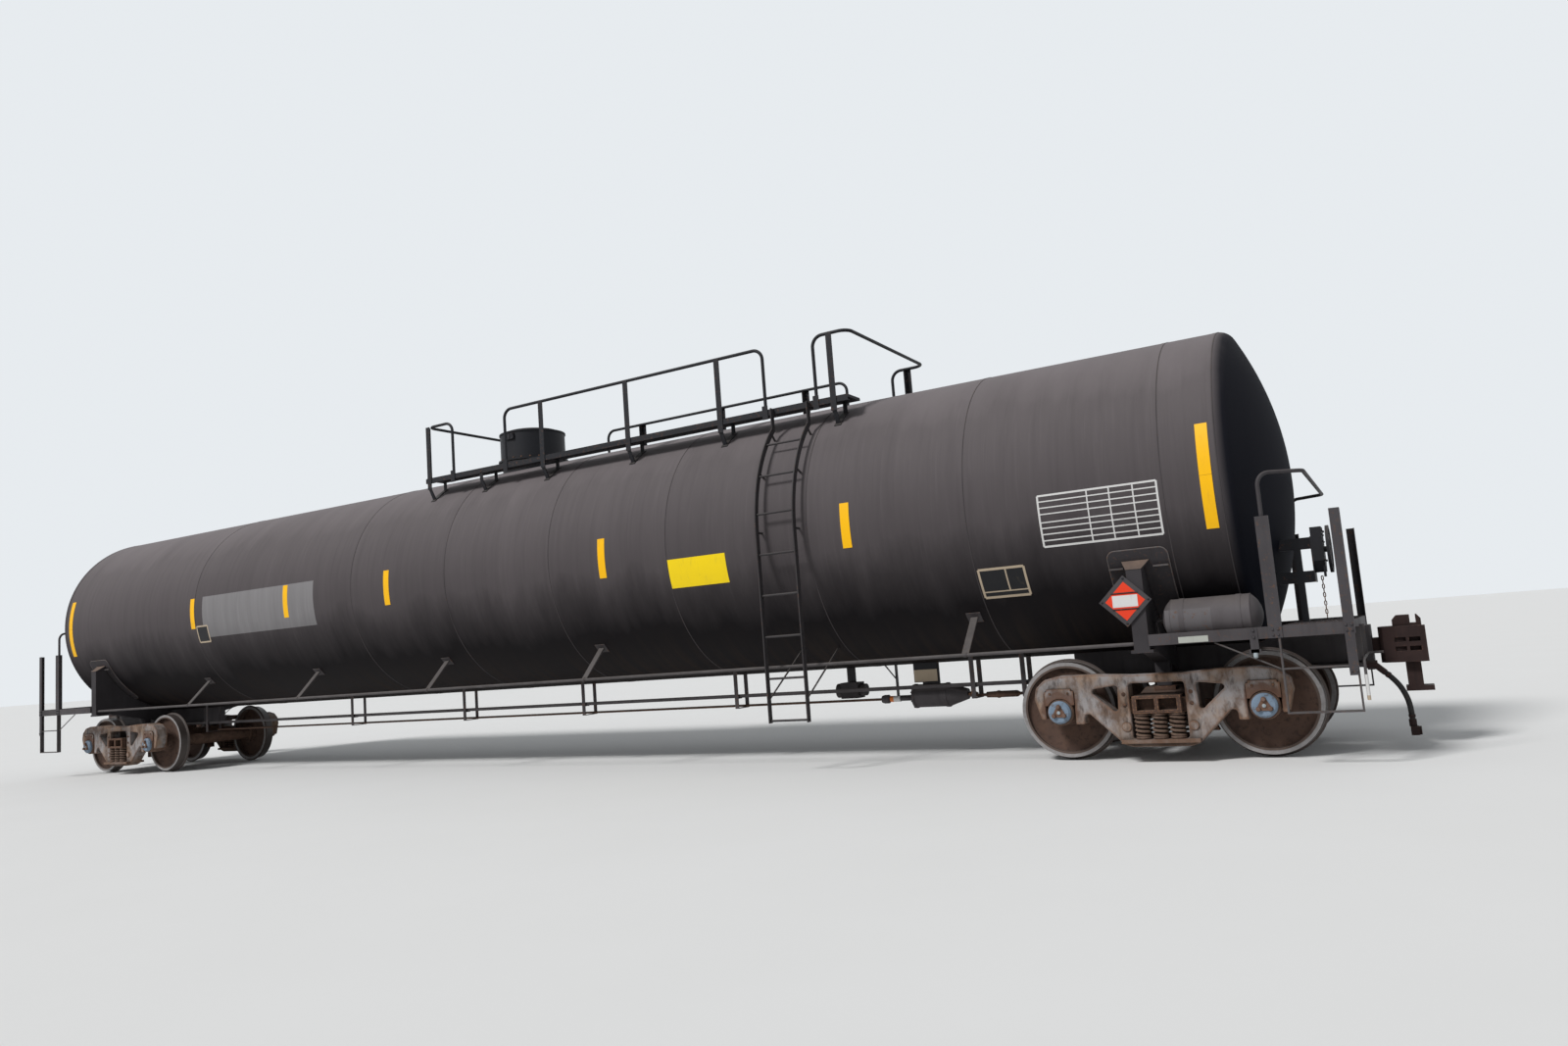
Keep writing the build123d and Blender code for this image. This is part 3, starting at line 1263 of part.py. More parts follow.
BOTTOM_SHELF = (
    # ahead of the pulling face, above the underside of the bottom shelf
    (-100, BOTTOM_SHELF_DROP + 1),
    (20, BOTTOM_SHELF_DROP + 1),
    (20, BOTTOM_SHELF_THICKNESS),
    (98, BOTTOM_SHELF_THICKNESS),
    (98, 0),
    (-120, 0),
    (-120, BOTTOM_SHELF_THICKNESS),
    (-100, BOTTOM_SHELF_THICKNESS),
)


def head_plane(way, z):
    """A plane at that height, its origin on the pulling face, and its own x pointing outwards."""
    return Plane(origin=(way * PULLING_FACE, 0, z), x_dir=(way, 0, 0), z_dir=(0, 0, 1))


def shelf_plane(way, z):
    """A plane seen from the side: its own x points outwards from the pulling face, its own y up."""
    return Plane(origin=(way * PULLING_FACE, 0, z), x_dir=(way, 0, 0), z_dir=(0, -way, 0))


def slab(plane, points, height, mode=Mode.ADD):
    """A flat piece that stands on a plane."""
    with BuildSketch(plane) as outline:
        with BuildLine():
            Polyline(*points, close=True)
        make_face()
    extrude(outline.sketch, amount=height, mode=mode)


def upright(plane, centre, radius, height, mode=Mode.ADD):
    """A round bar that stands on a plane."""
    with BuildSketch(plane) as outline:
        with Locations(centre):
            Circle(radius)
    extrude(outline.sketch, amount=height, mode=mode)


for name, way in ENDS:
    pin = (-KNUCKLE_PIN_SETBACK, KNUCKLE_PIN_OFFSET)
    head_low = COUPLER_Z - HEAD_HEIGHT / 2
    head_high = COUPLER_Z + HEAD_HEIGHT / 2
    pocket = head_plane(way, COUPLER_Z - KNUCKLE_HEIGHT / 2 - MOVING_GAP)
    pocket_height = KNUCKLE_HEIGHT + 2 * MOVING_GAP
    top_profile = shelf_plane(way, head_high)
    bottom_profile = shelf_plane(way, head_low - BOTTOM_SHELF_DROP)
    with BuildPart() as coupler:
        # Shank back to the pin in the sill
        block(
            (way * (PIVOT - COUPLER_PIVOT_END), way * (PULLING_FACE - HEAD_BACK + 1)),
            (-SHANK_WIDTH / 2, SHANK_WIDTH / 2),
            (COUPLER_Z - SHANK_DEPTH / 2, COUPLER_Z + SHANK_DEPTH / 2),
        )
        slab(head_plane(way, head_low), HEAD_PLAN, HEAD_HEIGHT)
        upright(pocket, pin, KNUCKLE_HUB_RADIUS + 2 * MOVING_GAP, pocket_height, mode=Mode.SUBTRACT)
        slab(pocket, KNUCKLE_ROOM, pocket_height, mode=Mode.SUBTRACT)
        upright(head_plane(way, head_low), pin, KNUCKLE_PIN_DIAMETER / 2, HEAD_HEIGHT)
        # Shelf above the head, slotted across, and the one below it
        plate(top_profile, TOP_SHELF, TOP_SHELF_WIDTH)
        block(
            (way * (PULLING_FACE - TOP_SHELF_SLOT / 2), way * (PULLING_FACE + TOP_SHELF_SLOT / 2)),
            (-TOP_SHELF_WIDTH / 2 - 1, TOP_SHELF_WIDTH / 2 + 1),
            (head_high + BOTTOM_SHELF_THICKNESS / 2, head_high + TOP_SHELF_RISE),
            mode=Mode.SUBTRACT,
        )
        plate(bottom_profile, BOTTOM_SHELF, TOP_SHELF_WIDTH)
        # Cored pockets in the side of the guard arm
        for ahead in (-GUARD_SLOT_PITCH / 2, GUARD_SLOT_PITCH / 2):
            for rise in (-GUARD_SLOT_HEIGHT, GUARD_SLOT_HEIGHT):
                middle = PULLING_FACE + GUARD_SLOT_AHEAD + ahead
                block(
                    (way * (middle - GUARD_SLOT_LENGTH / 2), way * (middle + GUARD_SLOT_LENGTH / 2)),
                    (-way * GUARD_SLOT_FLOOR, -way * HALF_WIDTH / 2),
                    (
                        COUPLER_Z + rise - GUARD_SLOT_HEIGHT / 2,
                        COUPLER_Z + rise + GUARD_SLOT_HEIGHT / 2,
                    ),
                    mode=Mode.SUBTRACT,
                )
        rod(
            (way * PIVOT, 0, SILL_BOTTOM),
            (way * PIVOT, 0, SILL_TOP),
            COUPLER_PIN_DIAMETER / 2 + PIN_GAP,
            mode=Mode.SUBTRACT,
        )
    write(coupler.part, f"coupler_{name}")

    with BuildPart() as knuckle:
        low = head_plane(way, COUPLER_Z - KNUCKLE_HEIGHT / 2)
        slab(low, KNUCKLE_PLAN, KNUCKLE_HEIGHT)
        upright(low, pin, KNUCKLE_HUB_RADIUS, KNUCKLE_HEIGHT)
        upright(low, pin, KNUCKLE_PIN_DIAMETER / 2 + PIN_GAP, KNUCKLE_HEIGHT, mode=Mode.SUBTRACT)
    write(knuckle.part, f"knuckle_{name}")

# Trucks: side frames, bolster, springs and brake beams
JAW_INNER = WHEELBASE / 2 - PEDESTAL_OPENING / 2
JAW_OUTER = WHEELBASE / 2 + PEDESTAL_OPENING / 2
WINDOW_HALF = BOLSTER_WINDOW_WIDTH / 2
COLUMN_OUT = WINDOW_HALF + COLUMN_WIDTH
FRAME_END = WHEELBASE / 2 + FRAME_OVERHANG
HALF_FRAME = (
    # from the truck's centre, above the rail, corner radius: the frame's outer edge
    (250, FRAME_TOP - FRAME_SAG, 150),
    (540, FRAME_TOP, 150),
    (880, FRAME_TOP, 90),
    (1020, FRAME_TOP - 30, 60),
    (FRAME_END - 18, FRAME_TOP - 108, 50),
    (FRAME_END, FRAME_TOP - 210, 40),
    (JAW_OUTER + 46, TIE_BAR_BOTTOM, 16),
    (JAW_OUTER, TIE_BAR_BOTTOM, 10),
    (JAW_OUTER, PEDESTAL_TOP, 20),
    (JAW_INNER, PEDESTAL_TOP, 20),
    (JAW_INNER, PEDESTAL_LEG_BOTTOM, 10),
    (JAW_INNER - PEDESTAL_LEG, PEDESTAL_LEG_BOTTOM, 16),
    (JAW_INNER - PEDESTAL_LEG - 10, 474, 36),
    (326, FRAME_BOTTOM + 22, 60),
    (250, FRAME_BOTTOM, 50),
)
SIDE_WINDOW = (
    # from the truck's centre, above the rail
    (COLUMN_OUT, SIDE_WINDOW_TOP),
    (JAW_INNER - PEDESTAL_LEG - 60, SIDE_WINDOW_TOP - 34),
    (COLUMN_OUT + 16, SIDE_WINDOW_BOTTOM),
)


def ring(points, radius, mode=Mode.ADD):
    """A face inside a closed line with rounded corners."""
    with BuildLine() as edge:
        FilletPolyline(*points, radius=radius, close=True)
    make_face(edge.edges(), mode=mode)


for name, way in ENDS:
    truck_x = way * TRUCK_X
    with BuildPart() as side_frames:
        with BuildSketch(side_plane(x=truck_x, y=-FRAME_Y, z=RAIL)) as outline:
            corners = [(x, z) for x, z, radius in HALF_FRAME]
            radii = [radius for x, z, radius in HALF_FRAME]
            ring(
                corners + [(-x, z) for x, z in reversed(corners)],
                radii + radii[::-1],
            )
            # Window for the bolster and its springs
            window = ((-WINDOW_HALF, BOLSTER_WINDOW_TOP), (WINDOW_HALF, BOLSTER_WINDOW_TOP))
            ring(
                (*window, (WINDOW_HALF, SPRING_SEAT), (-WINDOW_HALF, SPRING_SEAT)),
                WINDOW_CORNER,
                mode=Mode.SUBTRACT,
            )
            for side in SIDES:
                ring([(side * x, z) for x, z in SIDE_WINDOW], WINDOW_CORNER, mode=Mode.SUBTRACT)
        extrude(outline.sketch, amount=FRAME_THICKNESS / 2, both=True)
        chamfer(side_frames.faces().sort_by(Axis.Y)[0].edges(), FRAME_EDGE)
        for side in SIDES:
            x = truck_x + side * (WINDOW_HALF + COLUMN_WIDTH / 2)
            face = -FRAME_Y - FRAME_THICKNESS / 2
            rod((x, face + 1, BOSS_Z), (x, face - BOSS_HEIGHT, BOSS_Z), BOSS_DIAMETER / 2)
        # Shelf that the springs stand on
        block(
            (truck_x - COLUMN_OUT, truck_x + COLUMN_OUT),
            (-FRAME_Y - SPRING_SHELF_WIDTH / 2, -FRAME_Y + SPRING_SHELF_WIDTH / 2),
            (RAIL + SPRING_SEAT - SPRING_SHELF_THICKNESS, RAIL + SPRING_SEAT),
        )
        # Adapters that sit on the bearings
        for axle in SIDES:
            x = truck_x + axle * WHEELBASE / 2
            half = PEDESTAL_OPENING / 2
            near = -FRAME_Y - ADAPTER_WIDTH / 2
            far = -FRAME_Y + ADAPTER_WIDTH / 2
            roof = RAIL + PEDESTAL_TOP
            block(
                (x - half + SEAT_GAP, x + half - SEAT_GAP),
                (near, far),
                (AXLE_Z + BEARING_DIAMETER / 4, roof + 1),
            )
            block(
                (x - half + ADAPTER_LIP, x + half - ADAPTER_LIP),
                (near, far),
                (roof, roof + ADAPTER_LIP),
            )
            rod(
                (x, -FRAME_Y - BEARING_LENGTH, AXLE_Z),
                (x, -FRAME_Y + BEARING_LENGTH, AXLE_Z),
                BEARING_DIAMETER / 2 + PIN_GAP,
                mode=Mode.SUBTRACT,
            )
        mirror(about=Plane.XZ)
    write(side_frames.part, f"side_frames_{name}")

    end_low = RAIL + SPRING_SEAT + SPRING_HEIGHT + SEAT_GAP
    end_high = end_low + BOLSTER_END_DEPTH
    with BuildPart() as truck_bolster:
        plate(
            cross_plane(x=truck_x),
            [
                (0, BOWL_FLOOR - BOLSTER_BELLY),
                (BOLSTER_WIDTH, BOWL_FLOOR - BOLSTER_BELLY),
                (BOLSTER_SHOULDER, end_low),
                (BOLSTER_REACH, end_low),
                (BOLSTER_REACH, end_high),
                (BOLSTER_SHOULDER, end_high),
                (BOLSTER_TOP_HALF, BOWL_FLOOR - BOWL_SINK),
                (0, BOWL_FLOOR - BOWL_SINK),
            ],
            BOLSTER_WIDTH,
        )
        # Pocket in the end, with a rib down its middle
        for side in SIDES:
            block(
                (truck_x + side * BOLSTER_RIB / 2, truck_x + side * (BOLSTER_WIDTH / 2 - BOLSTER_RIB)),
                (BOLSTER_REACH - BOLSTER_POCKET, BOLSTER_REACH),
                (end_low + BOLSTER_END_FLANGE, end_high - BOLSTER_END_FLANGE),
                mode=Mode.SUBTRACT,
            )
            # Friction wedge against the column
            block(
                (truck_x + side * (BOLSTER_WIDTH / 2 - 1), truck_x + side * (WINDOW_HALF - SEAT_GAP)),
                (FRAME_Y - WEDGE_WIDTH / 2, FRAME_Y + WEDGE_WIDTH / 2),
                (end_low, end_high - BOLSTER_END_FLANGE),
            )
        # Side bearing
        block(
            (truck_x - SIDE_BEARING_SIZE, truck_x + SIDE_BEARING_SIZE),
            (SIDE_BEARING_Y - SIDE_BEARING_SIZE / 2, SIDE_BEARING_Y + SIDE_BEARING_SIZE / 2),
            (SIDE_BEARING_Z - SIDE_BEARING_HEIGHT, SIDE_BEARING_Z),
        )
        mirror(about=Plane.XZ)
        rod(
            (truck_x, 0, BOWL_FLOOR - BOWL_SINK - 1),
            (truck_x, 0, BOWL_FLOOR + BOWL_RIM),
            BOWL_DIAMETER / 2,
        )
        rod(
            (truck_x, 0, BOWL_FLOOR),
            (truck_x, 0, BOWL_FLOOR + BOWL_RIM + 1),
            CENTRE_PLATE_DIAMETER / 2 + MOVING_GAP,
            mode=Mode.SUBTRACT,
        )
    write(truck_bolster.part, f"truck_bolster_{name}")

    # Springs: two rows of three on each side, their coils as rings
    with BuildPart() as spring_nests:
        foot = RAIL + SPRING_SEAT + SEAT_GAP
        pitch = (SPRING_HEIGHT - SEAT_GAP) / SPRING_COILS
        core = SPRING_DIAMETER / 2 - SPRING_WIRE / 2
        for side in SIDES:
            for along in (-SPRING_PITCH, 0, SPRING_PITCH):
                for across in (-SPRING_ROW, SPRING_ROW):
                    x = truck_x + along
                    y = side * (FRAME_Y + across)
                    edge = [(0, 0), (core, 0)]
                    for count in range(SPRING_COILS):
                        edge.append((SPRING_DIAMETER / 2, (count + 0.5) * pitch))
                        edge.append((core, (count + 1) * pitch))
                    with BuildSketch(side_plane(x=x, y=y, z=foot)):
                        with BuildLine():
                            Polyline(*edge, (0, SPRING_COILS * pitch), close=True)
                        make_face()
                    revolve(axis=Axis((x, y, 0), (0, 0, 1)))
    write(spring_nests.part, f"spring_nests_{name}")

    # Brake beams between the side frames, with a shoe at each wheel's tread
    with BuildPart() as brake_beams:
        tread = WHEELBASE / 2 - WHEEL_RADIUS
        reach = FRAME_Y - FRAME_THICKNESS / 2 - SEAT_GAP
        beam_z = AXLE_Z - BRAKE_BEAM_DROP
        shoe_y = (BACK_TO_BACK + RIM_WIDTH + FLANGE_WIDTH) / 2
        for lead in SIDES:
            x = truck_x + lead * (tread - BRAKE_SHOE_REACH / 2)
            half = BRAKE_BEAM_SIZE / 2
            block((x - half, x + half), (-reach, reach), (beam_z - half, beam_z + half))
            for side in SIDES:
                y = side * shoe_y
                block(
                    (x, x + lead * BRAKE_SHOE_REACH),
                    (y - BRAKE_SHOE_WIDTH / 2, y + BRAKE_SHOE_WIDTH / 2),
                    (beam_z - BRAKE_SHOE_REACH, beam_z + BRAKE_SHOE_REACH),
                )
        for axle in SIDES:
            x = truck_x + axle * WHEELBASE / 2
            rod(
                (x, -FRAME_Y, AXLE_Z),
                (x, FRAME_Y, AXLE_Z),
                WHEEL_RADIUS + FLANGE_DEPTH + MOVING_GAP,
                mode=Mode.SUBTRACT,
            )
    write(brake_beams.part, f"brake_beams_{name}")

# Wheelsets: axles with their bearings, and the wheels pressed onto them
BACK = BACK_TO_BACK / 2
RIM_FRONT = BACK + RIM_WIDTH
RIM_INNER = WHEEL_RADIUS - RIM_THICKNESS
HUB_RADIUS = HUB_DIAMETER / 2
HUB_BACK = BACK - HUB_SETBACK
HUB_FRONT = HUB_BACK + HUB_LENGTH
SEAT_RADIUS = WHEEL_SEAT_DIAMETER / 2
BEARING_RADIUS = BEARING_DIAMETER / 2
BEARING_IN = FRAME_Y - BEARING_LENGTH / 2
BEARING_OUT = FRAME_Y + BEARING_LENGTH / 2
CAP_FACE = BEARING_OUT + END_CAP_THICKNESS
PLATE_HUB = BACK + (RIM_WIDTH - PLATE_DISH - PLATE_THICKNESS) / 2
PLATE_RIM = PLATE_HUB + PLATE_DISH
WHEEL_PROFILE = (
    # radius, distance from the car's centre line
    (SEAT_RADIUS, HUB_BACK),
    (HUB_RADIUS, HUB_BACK),
    (HUB_RADIUS + HUB_FLARE, PLATE_HUB),
    (RIM_INNER, PLATE_RIM),
    (RIM_INNER, BACK),
    (WHEEL_RADIUS + FLANGE_DEPTH - 8, BACK),
    (WHEEL_RADIUS + FLANGE_DEPTH, BACK + FLANGE_WIDTH * 0.4),
    (WHEEL_RADIUS + 2, BACK + FLANGE_WIDTH),
    (WHEEL_RADIUS - TREAD_TAPER, RIM_FRONT),
    (RIM_INNER, RIM_FRONT),
    (RIM_INNER, PLATE_RIM + PLATE_THICKNESS),
    (HUB_RADIUS + HUB_FLARE, PLATE_HUB + PLATE_THICKNESS),
    (HUB_RADIUS, HUB_FRONT),
    (SEAT_RADIUS, HUB_FRONT),
)
AXLE_PROFILE = (
    # radius, distance from the car's centre line
    (0, 0),
    (AXLE_DIAMETER / 2, 0),
    (AXLE_DIAMETER / 2, HUB_BACK - HUB_FLARE - BEARING_STEP),
    (SEAT_RADIUS, HUB_BACK - HUB_FLARE),
    (SEAT_RADIUS, BEARING_IN),
    (BEARING_RADIUS, BEARING_IN),
    (BEARING_RADIUS, BEARING_OUT - BEARING_STEP),
    (BEARING_RADIUS - BEARING_STEP / 2, BEARING_OUT),
    (END_CAP_DIAMETER / 2, BEARING_OUT),
    (END_CAP_DIAMETER / 2, CAP_FACE - BEARING_STEP),
    (END_CAP_DIAMETER / 2 - BEARING_STEP, CAP_FACE),
    (0, CAP_FACE),
)
AXLES = (
    # number, x
    (1, TRUCK_X + WHEELBASE / 2),
    (2, TRUCK_X - WHEELBASE / 2),
    (3, -TRUCK_X + WHEELBASE / 2),
    (4, -TRUCK_X - WHEELBASE / 2),
)


def turned(x, profile):
    """A solid turned about an axle at x, inside the block that calls it."""
    with BuildSketch(Plane(origin=(x, 0, AXLE_Z), x_dir=(1, 0, 0), z_dir=(0, 0, 1))) as section:
        with BuildLine():
            Polyline(*profile, close=True)
        make_face()
    revolve(section.sketch, axis=Axis((x, 0, AXLE_Z), (0, 1, 0)))


for number, x in AXLES:
    with BuildPart() as wheels:
        turned(x, WHEEL_PROFILE)
        mirror(about=Plane.XZ)
    write(wheels.part, f"wheels_{number}")

    with BuildPart() as axle:
        turned(x, AXLE_PROFILE)
        # Locking plate under the cap's bolts
        with BuildSketch(side_plane(x=x, y=CAP_FACE - 1, z=AXLE_Z)) as locking_plate:
            RegularPolygon(LOCKING_PLATE_SIDE / sqrt(3), 3, rotation=90)
            fillet(locking_plate.vertices(), LOCKING_PLATE_CORNER)
        extrude(locking_plate.sketch, amount=-LOCKING_PLATE_THICKNESS - 1)
        mirror(about=Plane.XZ)
    write(axle.part, f"axle_{number}")
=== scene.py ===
"""Railway tank car: the looks of every surface, small details, and the photograph's view."""

from math import asin, cos, pi, radians, sin, sqrt

import bmesh
import bpy
from mathutils import Matrix, Vector


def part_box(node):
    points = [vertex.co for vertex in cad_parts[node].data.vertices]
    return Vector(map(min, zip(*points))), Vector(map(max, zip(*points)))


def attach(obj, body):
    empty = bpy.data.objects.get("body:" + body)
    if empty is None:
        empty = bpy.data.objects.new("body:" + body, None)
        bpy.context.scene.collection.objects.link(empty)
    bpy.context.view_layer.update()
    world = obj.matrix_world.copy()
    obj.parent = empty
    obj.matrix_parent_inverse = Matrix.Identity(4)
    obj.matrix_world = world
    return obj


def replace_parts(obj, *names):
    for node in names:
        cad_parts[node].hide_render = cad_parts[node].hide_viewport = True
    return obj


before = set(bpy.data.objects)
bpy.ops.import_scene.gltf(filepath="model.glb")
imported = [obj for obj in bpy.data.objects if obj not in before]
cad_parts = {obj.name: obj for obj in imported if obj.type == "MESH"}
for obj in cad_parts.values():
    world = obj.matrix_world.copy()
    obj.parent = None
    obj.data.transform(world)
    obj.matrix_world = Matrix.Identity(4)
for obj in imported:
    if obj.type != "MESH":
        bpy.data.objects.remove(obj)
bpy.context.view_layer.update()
scene = bpy.context.scene

# Camera, as it was fitted to the photograph
CAMERA_PLACE = Vector((10.469, -11.214, 1.301))
CAMERA_YAW = 0.5179
CAMERA_PITCH = 0.1137
CAMERA_ROLL = -0.076
SENSOR_WIDTH = 36
FOCAL_LENGTH = 24.58
CLIP_END = 2000
level = Vector((cos(CAMERA_YAW), sin(CAMERA_YAW), 0))
forward = Vector((-sin(CAMERA_YAW), cos(CAMERA_YAW), 0))
ahead = forward * cos(CAMERA_PITCH) + Vector((0, 0, sin(CAMERA_PITCH)))
upward = level.cross(ahead)
right = level * cos(CAMERA_ROLL) + upward * sin(CAMERA_ROLL)
up = upward * cos(CAMERA_ROLL) - level * sin(CAMERA_ROLL)
camera = bpy.data.objects.new("camera", bpy.data.cameras.new("camera"))
camera.data.sensor_width = SENSOR_WIDTH
camera.data.lens = FOCAL_LENGTH
camera.data.clip_end = CLIP_END
axes = Matrix((right, up, -ahead)).transposed().to_4x4()
camera.matrix_world = Matrix.Translation(CAMERA_PLACE) @ axes
scene.collection.objects.link(camera)
scene.camera = camera

# Places and sizes, worked out from the frame or the same as in the source
RAIL = 0.025
tank_low, tank_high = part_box("tank_shell")
TANK_RADIUS = (tank_high.z - tank_low.z) / 2
TANK_Z = (tank_high.z + tank_low.z) / 2
BARREL_END = 9.218
SIDES = (-1, 1)
ENDS = (("b", 1), ("a", -1))
# Ring seams of the jacket, where one sheet laps over the next
SEAMS = (-BARREL_END, -5.535, -1.938, -0.128, 1.64, 3.382, 5.196, 6.924, 8.748, BARREL_END)
TRUCK_X = 8.425
AXLE_REACH = 0.889
AXLE_Z = 0.482


def middle(node):
    """The middle of a CAD node's box."""
    low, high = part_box(node)
    return (low + high) / 2


# Materials
DUST = (0.17, 0.145, 0.125)


def tone_of(colour, share):
    """A colour made lighter or darker."""
    return tuple(part * share for part in colour)


class Surface:
    """Builds one procedural material from layers of colour, roughness and relief."""

    def __init__(self, name, colour, roughness, specular=0.22):
        self.material = bpy.data.materials.new(name)
        self.material.use_nodes = True
        self.nodes = self.material.node_tree.nodes
        self.links = self.material.node_tree.links
        self.shader = self.nodes["Principled BSDF"]
        self.shader.inputs["Specular IOR Level"].default_value = specular
        self.colour = (*colour, 1)
        self.rough = roughness
        self.relief = None
        self.place = self.add("TexCoord").outputs["Object"]
        split = self.add("SeparateXYZ")
        self.links.new(self.place, split.inputs[0])
        self.x, self.y, self.z = split.outputs

    def add(self, kind):
        return self.nodes.new("ShaderNode" + kind)

    def feed(self, item, socket):
        """Links a node's output to a socket, or sets the socket itself to a plain value."""
        if isinstance(item, bpy.types.NodeSocket):
            self.links.new(item, socket)
        else:
            socket.default_value = item

    def noise(self, scale, detail=4.0, stretch=(1, 1, 1), roughness=0.55, shift=0.0):
        """Noise whose features are about one over scale metres across."""
        mapping = self.add("Mapping")
        mapping.inputs["Scale"].default_value = stretch
        mapping.inputs["Location"].default_value = (shift, shift, shift)
        texture = self.add("TexNoise")
        texture.inputs["Scale"].default_value = scale
        texture.inputs["Detail"].default_value = detail
        texture.inputs["Roughness"].default_value = roughness
        self.links.new(self.place, mapping.inputs["Vector"])
        self.links.new(mapping.outputs["Vector"], texture.inputs["Vector"])
        return texture.outputs[0]

    def ramp(self, source, low, high, start=0.0, end=1.0):
        """Takes low to start and high to end, and holds them beyond."""
        node = self.add("MapRange")
        for name, value in (("From Min", low), ("From Max", high), ("To Min", start), ("To Max", end)):
            node.inputs[name].default_value = value
        self.links.new(source, node.inputs["Value"])
        return node.outputs[0]

    def math(self, kind, first, second=0.0):
        node = self.add("Math")
        node.operation = kind
        for socket, item in zip(node.inputs, (first, second)):
            self.feed(item, socket)
        return node.outputs[0]

    def times(self, first, second):
        return self.math("MULTIPLY", first, second)

    def distance(self, first, first_centre, second, second_centre):
        """Distance from a line along the third axis."""
        a = self.math("SUBTRACT", first, first_centre)
        b = self.math("SUBTRACT", second, second_centre)
        return self.math("SQRT", self.math("ADD", self.times(a, a), self.times(b, b)))

    def occlusion(self, reach, inside):
        node = self.add("AmbientOcclusion")
        node.samples = 6
        node.inside = inside
        node.only_local = True
        node.inputs["Distance"].default_value = reach
        return node.outputs["AO"]

    def edges(self, reach):
        """One along outer edges within reach, none on flat faces."""
        return self.ramp(self.occlusion(reach, True), 0.95, 0.55)

    def corners(self, reach):
        """One in inner corners within reach, none on open faces."""
        return self.ramp(self.occlusion(reach, False), 0.92, 0.45)

    def facing(self, axis):
        """How far the surface faces along an axis of the car."""
        node = self.add("NewGeometry")
        split = self.add("SeparateXYZ")
        self.links.new(node.outputs["Normal"], split.inputs[0])
        return split.outputs[axis]

    def top_faces(self):
        return self.ramp(self.facing(2), 0.3, 0.9)

    def tint(self, factor, colour, roughness=None):
        """Lays a colour over what is there by a factor."""
        node = self.add("Mix")
        node.data_type = "RGBA"
        self.links.new(factor, node.inputs[0])
        self.feed(self.colour, node.inputs[6])
        node.inputs[7].default_value = (*colour, 1)
        self.colour = node.outputs[2]
        if roughness is not None:
            blend = self.add("Mix")
            self.links.new(factor, blend.inputs[0])
            self.feed(self.rough, blend.inputs[2])
            blend.inputs[3].default_value = roughness
            self.rough = blend.outputs[0]

    def cloud(self, texture, low, high, amount, colour, roughness=None):
        """Lays a colour over by a texture: none of it at low, the amount at high."""
        self.tint(self.ramp(texture, low, high, 0, amount), colour, roughness)

    def bump(self, height, distance, strength=0.5):
        node = self.add("Bump")
        node.inputs["Strength"].default_value = strength
        node.inputs["Distance"].default_value = distance
        self.links.new(height, node.inputs["Height"])
        if self.relief:
            self.links.new(self.relief, node.inputs["Normal"])
        self.relief = node.outputs[0]

    def done(self):
        self.feed(self.colour, self.shader.inputs["Base Color"])
        self.feed(self.rough, self.shader.inputs["Roughness"])
        if self.relief:
            self.links.new(self.relief, self.shader.inputs["Normal"])
        return self.material


def weathered(
    name, colour, dirt, rust, roughness=0.6, dirty=0.5, rusty=0.3, scale=1.0, dusty=0.25, dust=DUST
):
    """Painted steel with clouds of dirt, streaks down it, dirt and painted shade in inner corners, dust
    on top, and rust at its edges.
    """
    s = Surface(name, colour, roughness)
    s.tint(s.times(s.ramp(s.noise(1.7 * scale, 5), 0.4, 0.66), dirty), dirt, min(1, roughness + 0.15))
    streaks = s.noise(11 * scale, 4, (1, 1, 0.1), shift=3.1)
    s.tint(s.times(s.ramp(streaks, 0.5, 0.7), dirty * 0.7), dirt)
    # Inner corners darker: partly dirt, partly painted shade found by occlusion
    s.tint(s.times(s.corners(0.03), dirty), tone_of(dirt, 0.45), 0.95)
    grain = s.noise(26 * scale, 8, roughness=0.7, shift=7.7)
    patches = s.math("ADD", grain, s.times(s.edges(0.012), 0.16))
    start = 0.74 - rusty * 0.26
    s.tint(s.ramp(patches, start, start + 0.07), rust, 0.9)
    upward_faces = s.top_faces()
    settled = s.ramp(s.noise(7.0 * scale, 5), 0.3, 0.7, 0.6 * dusty, 1.4 * dusty)
    s.tint(s.times(upward_faces, settled), dust, 0.95)
    s.bump(s.ramp(patches, start, start + 0.1), 0.0012, 0.6)
    s.bump(s.noise(140, 3), 0.0006, 0.4)
    return s.done()


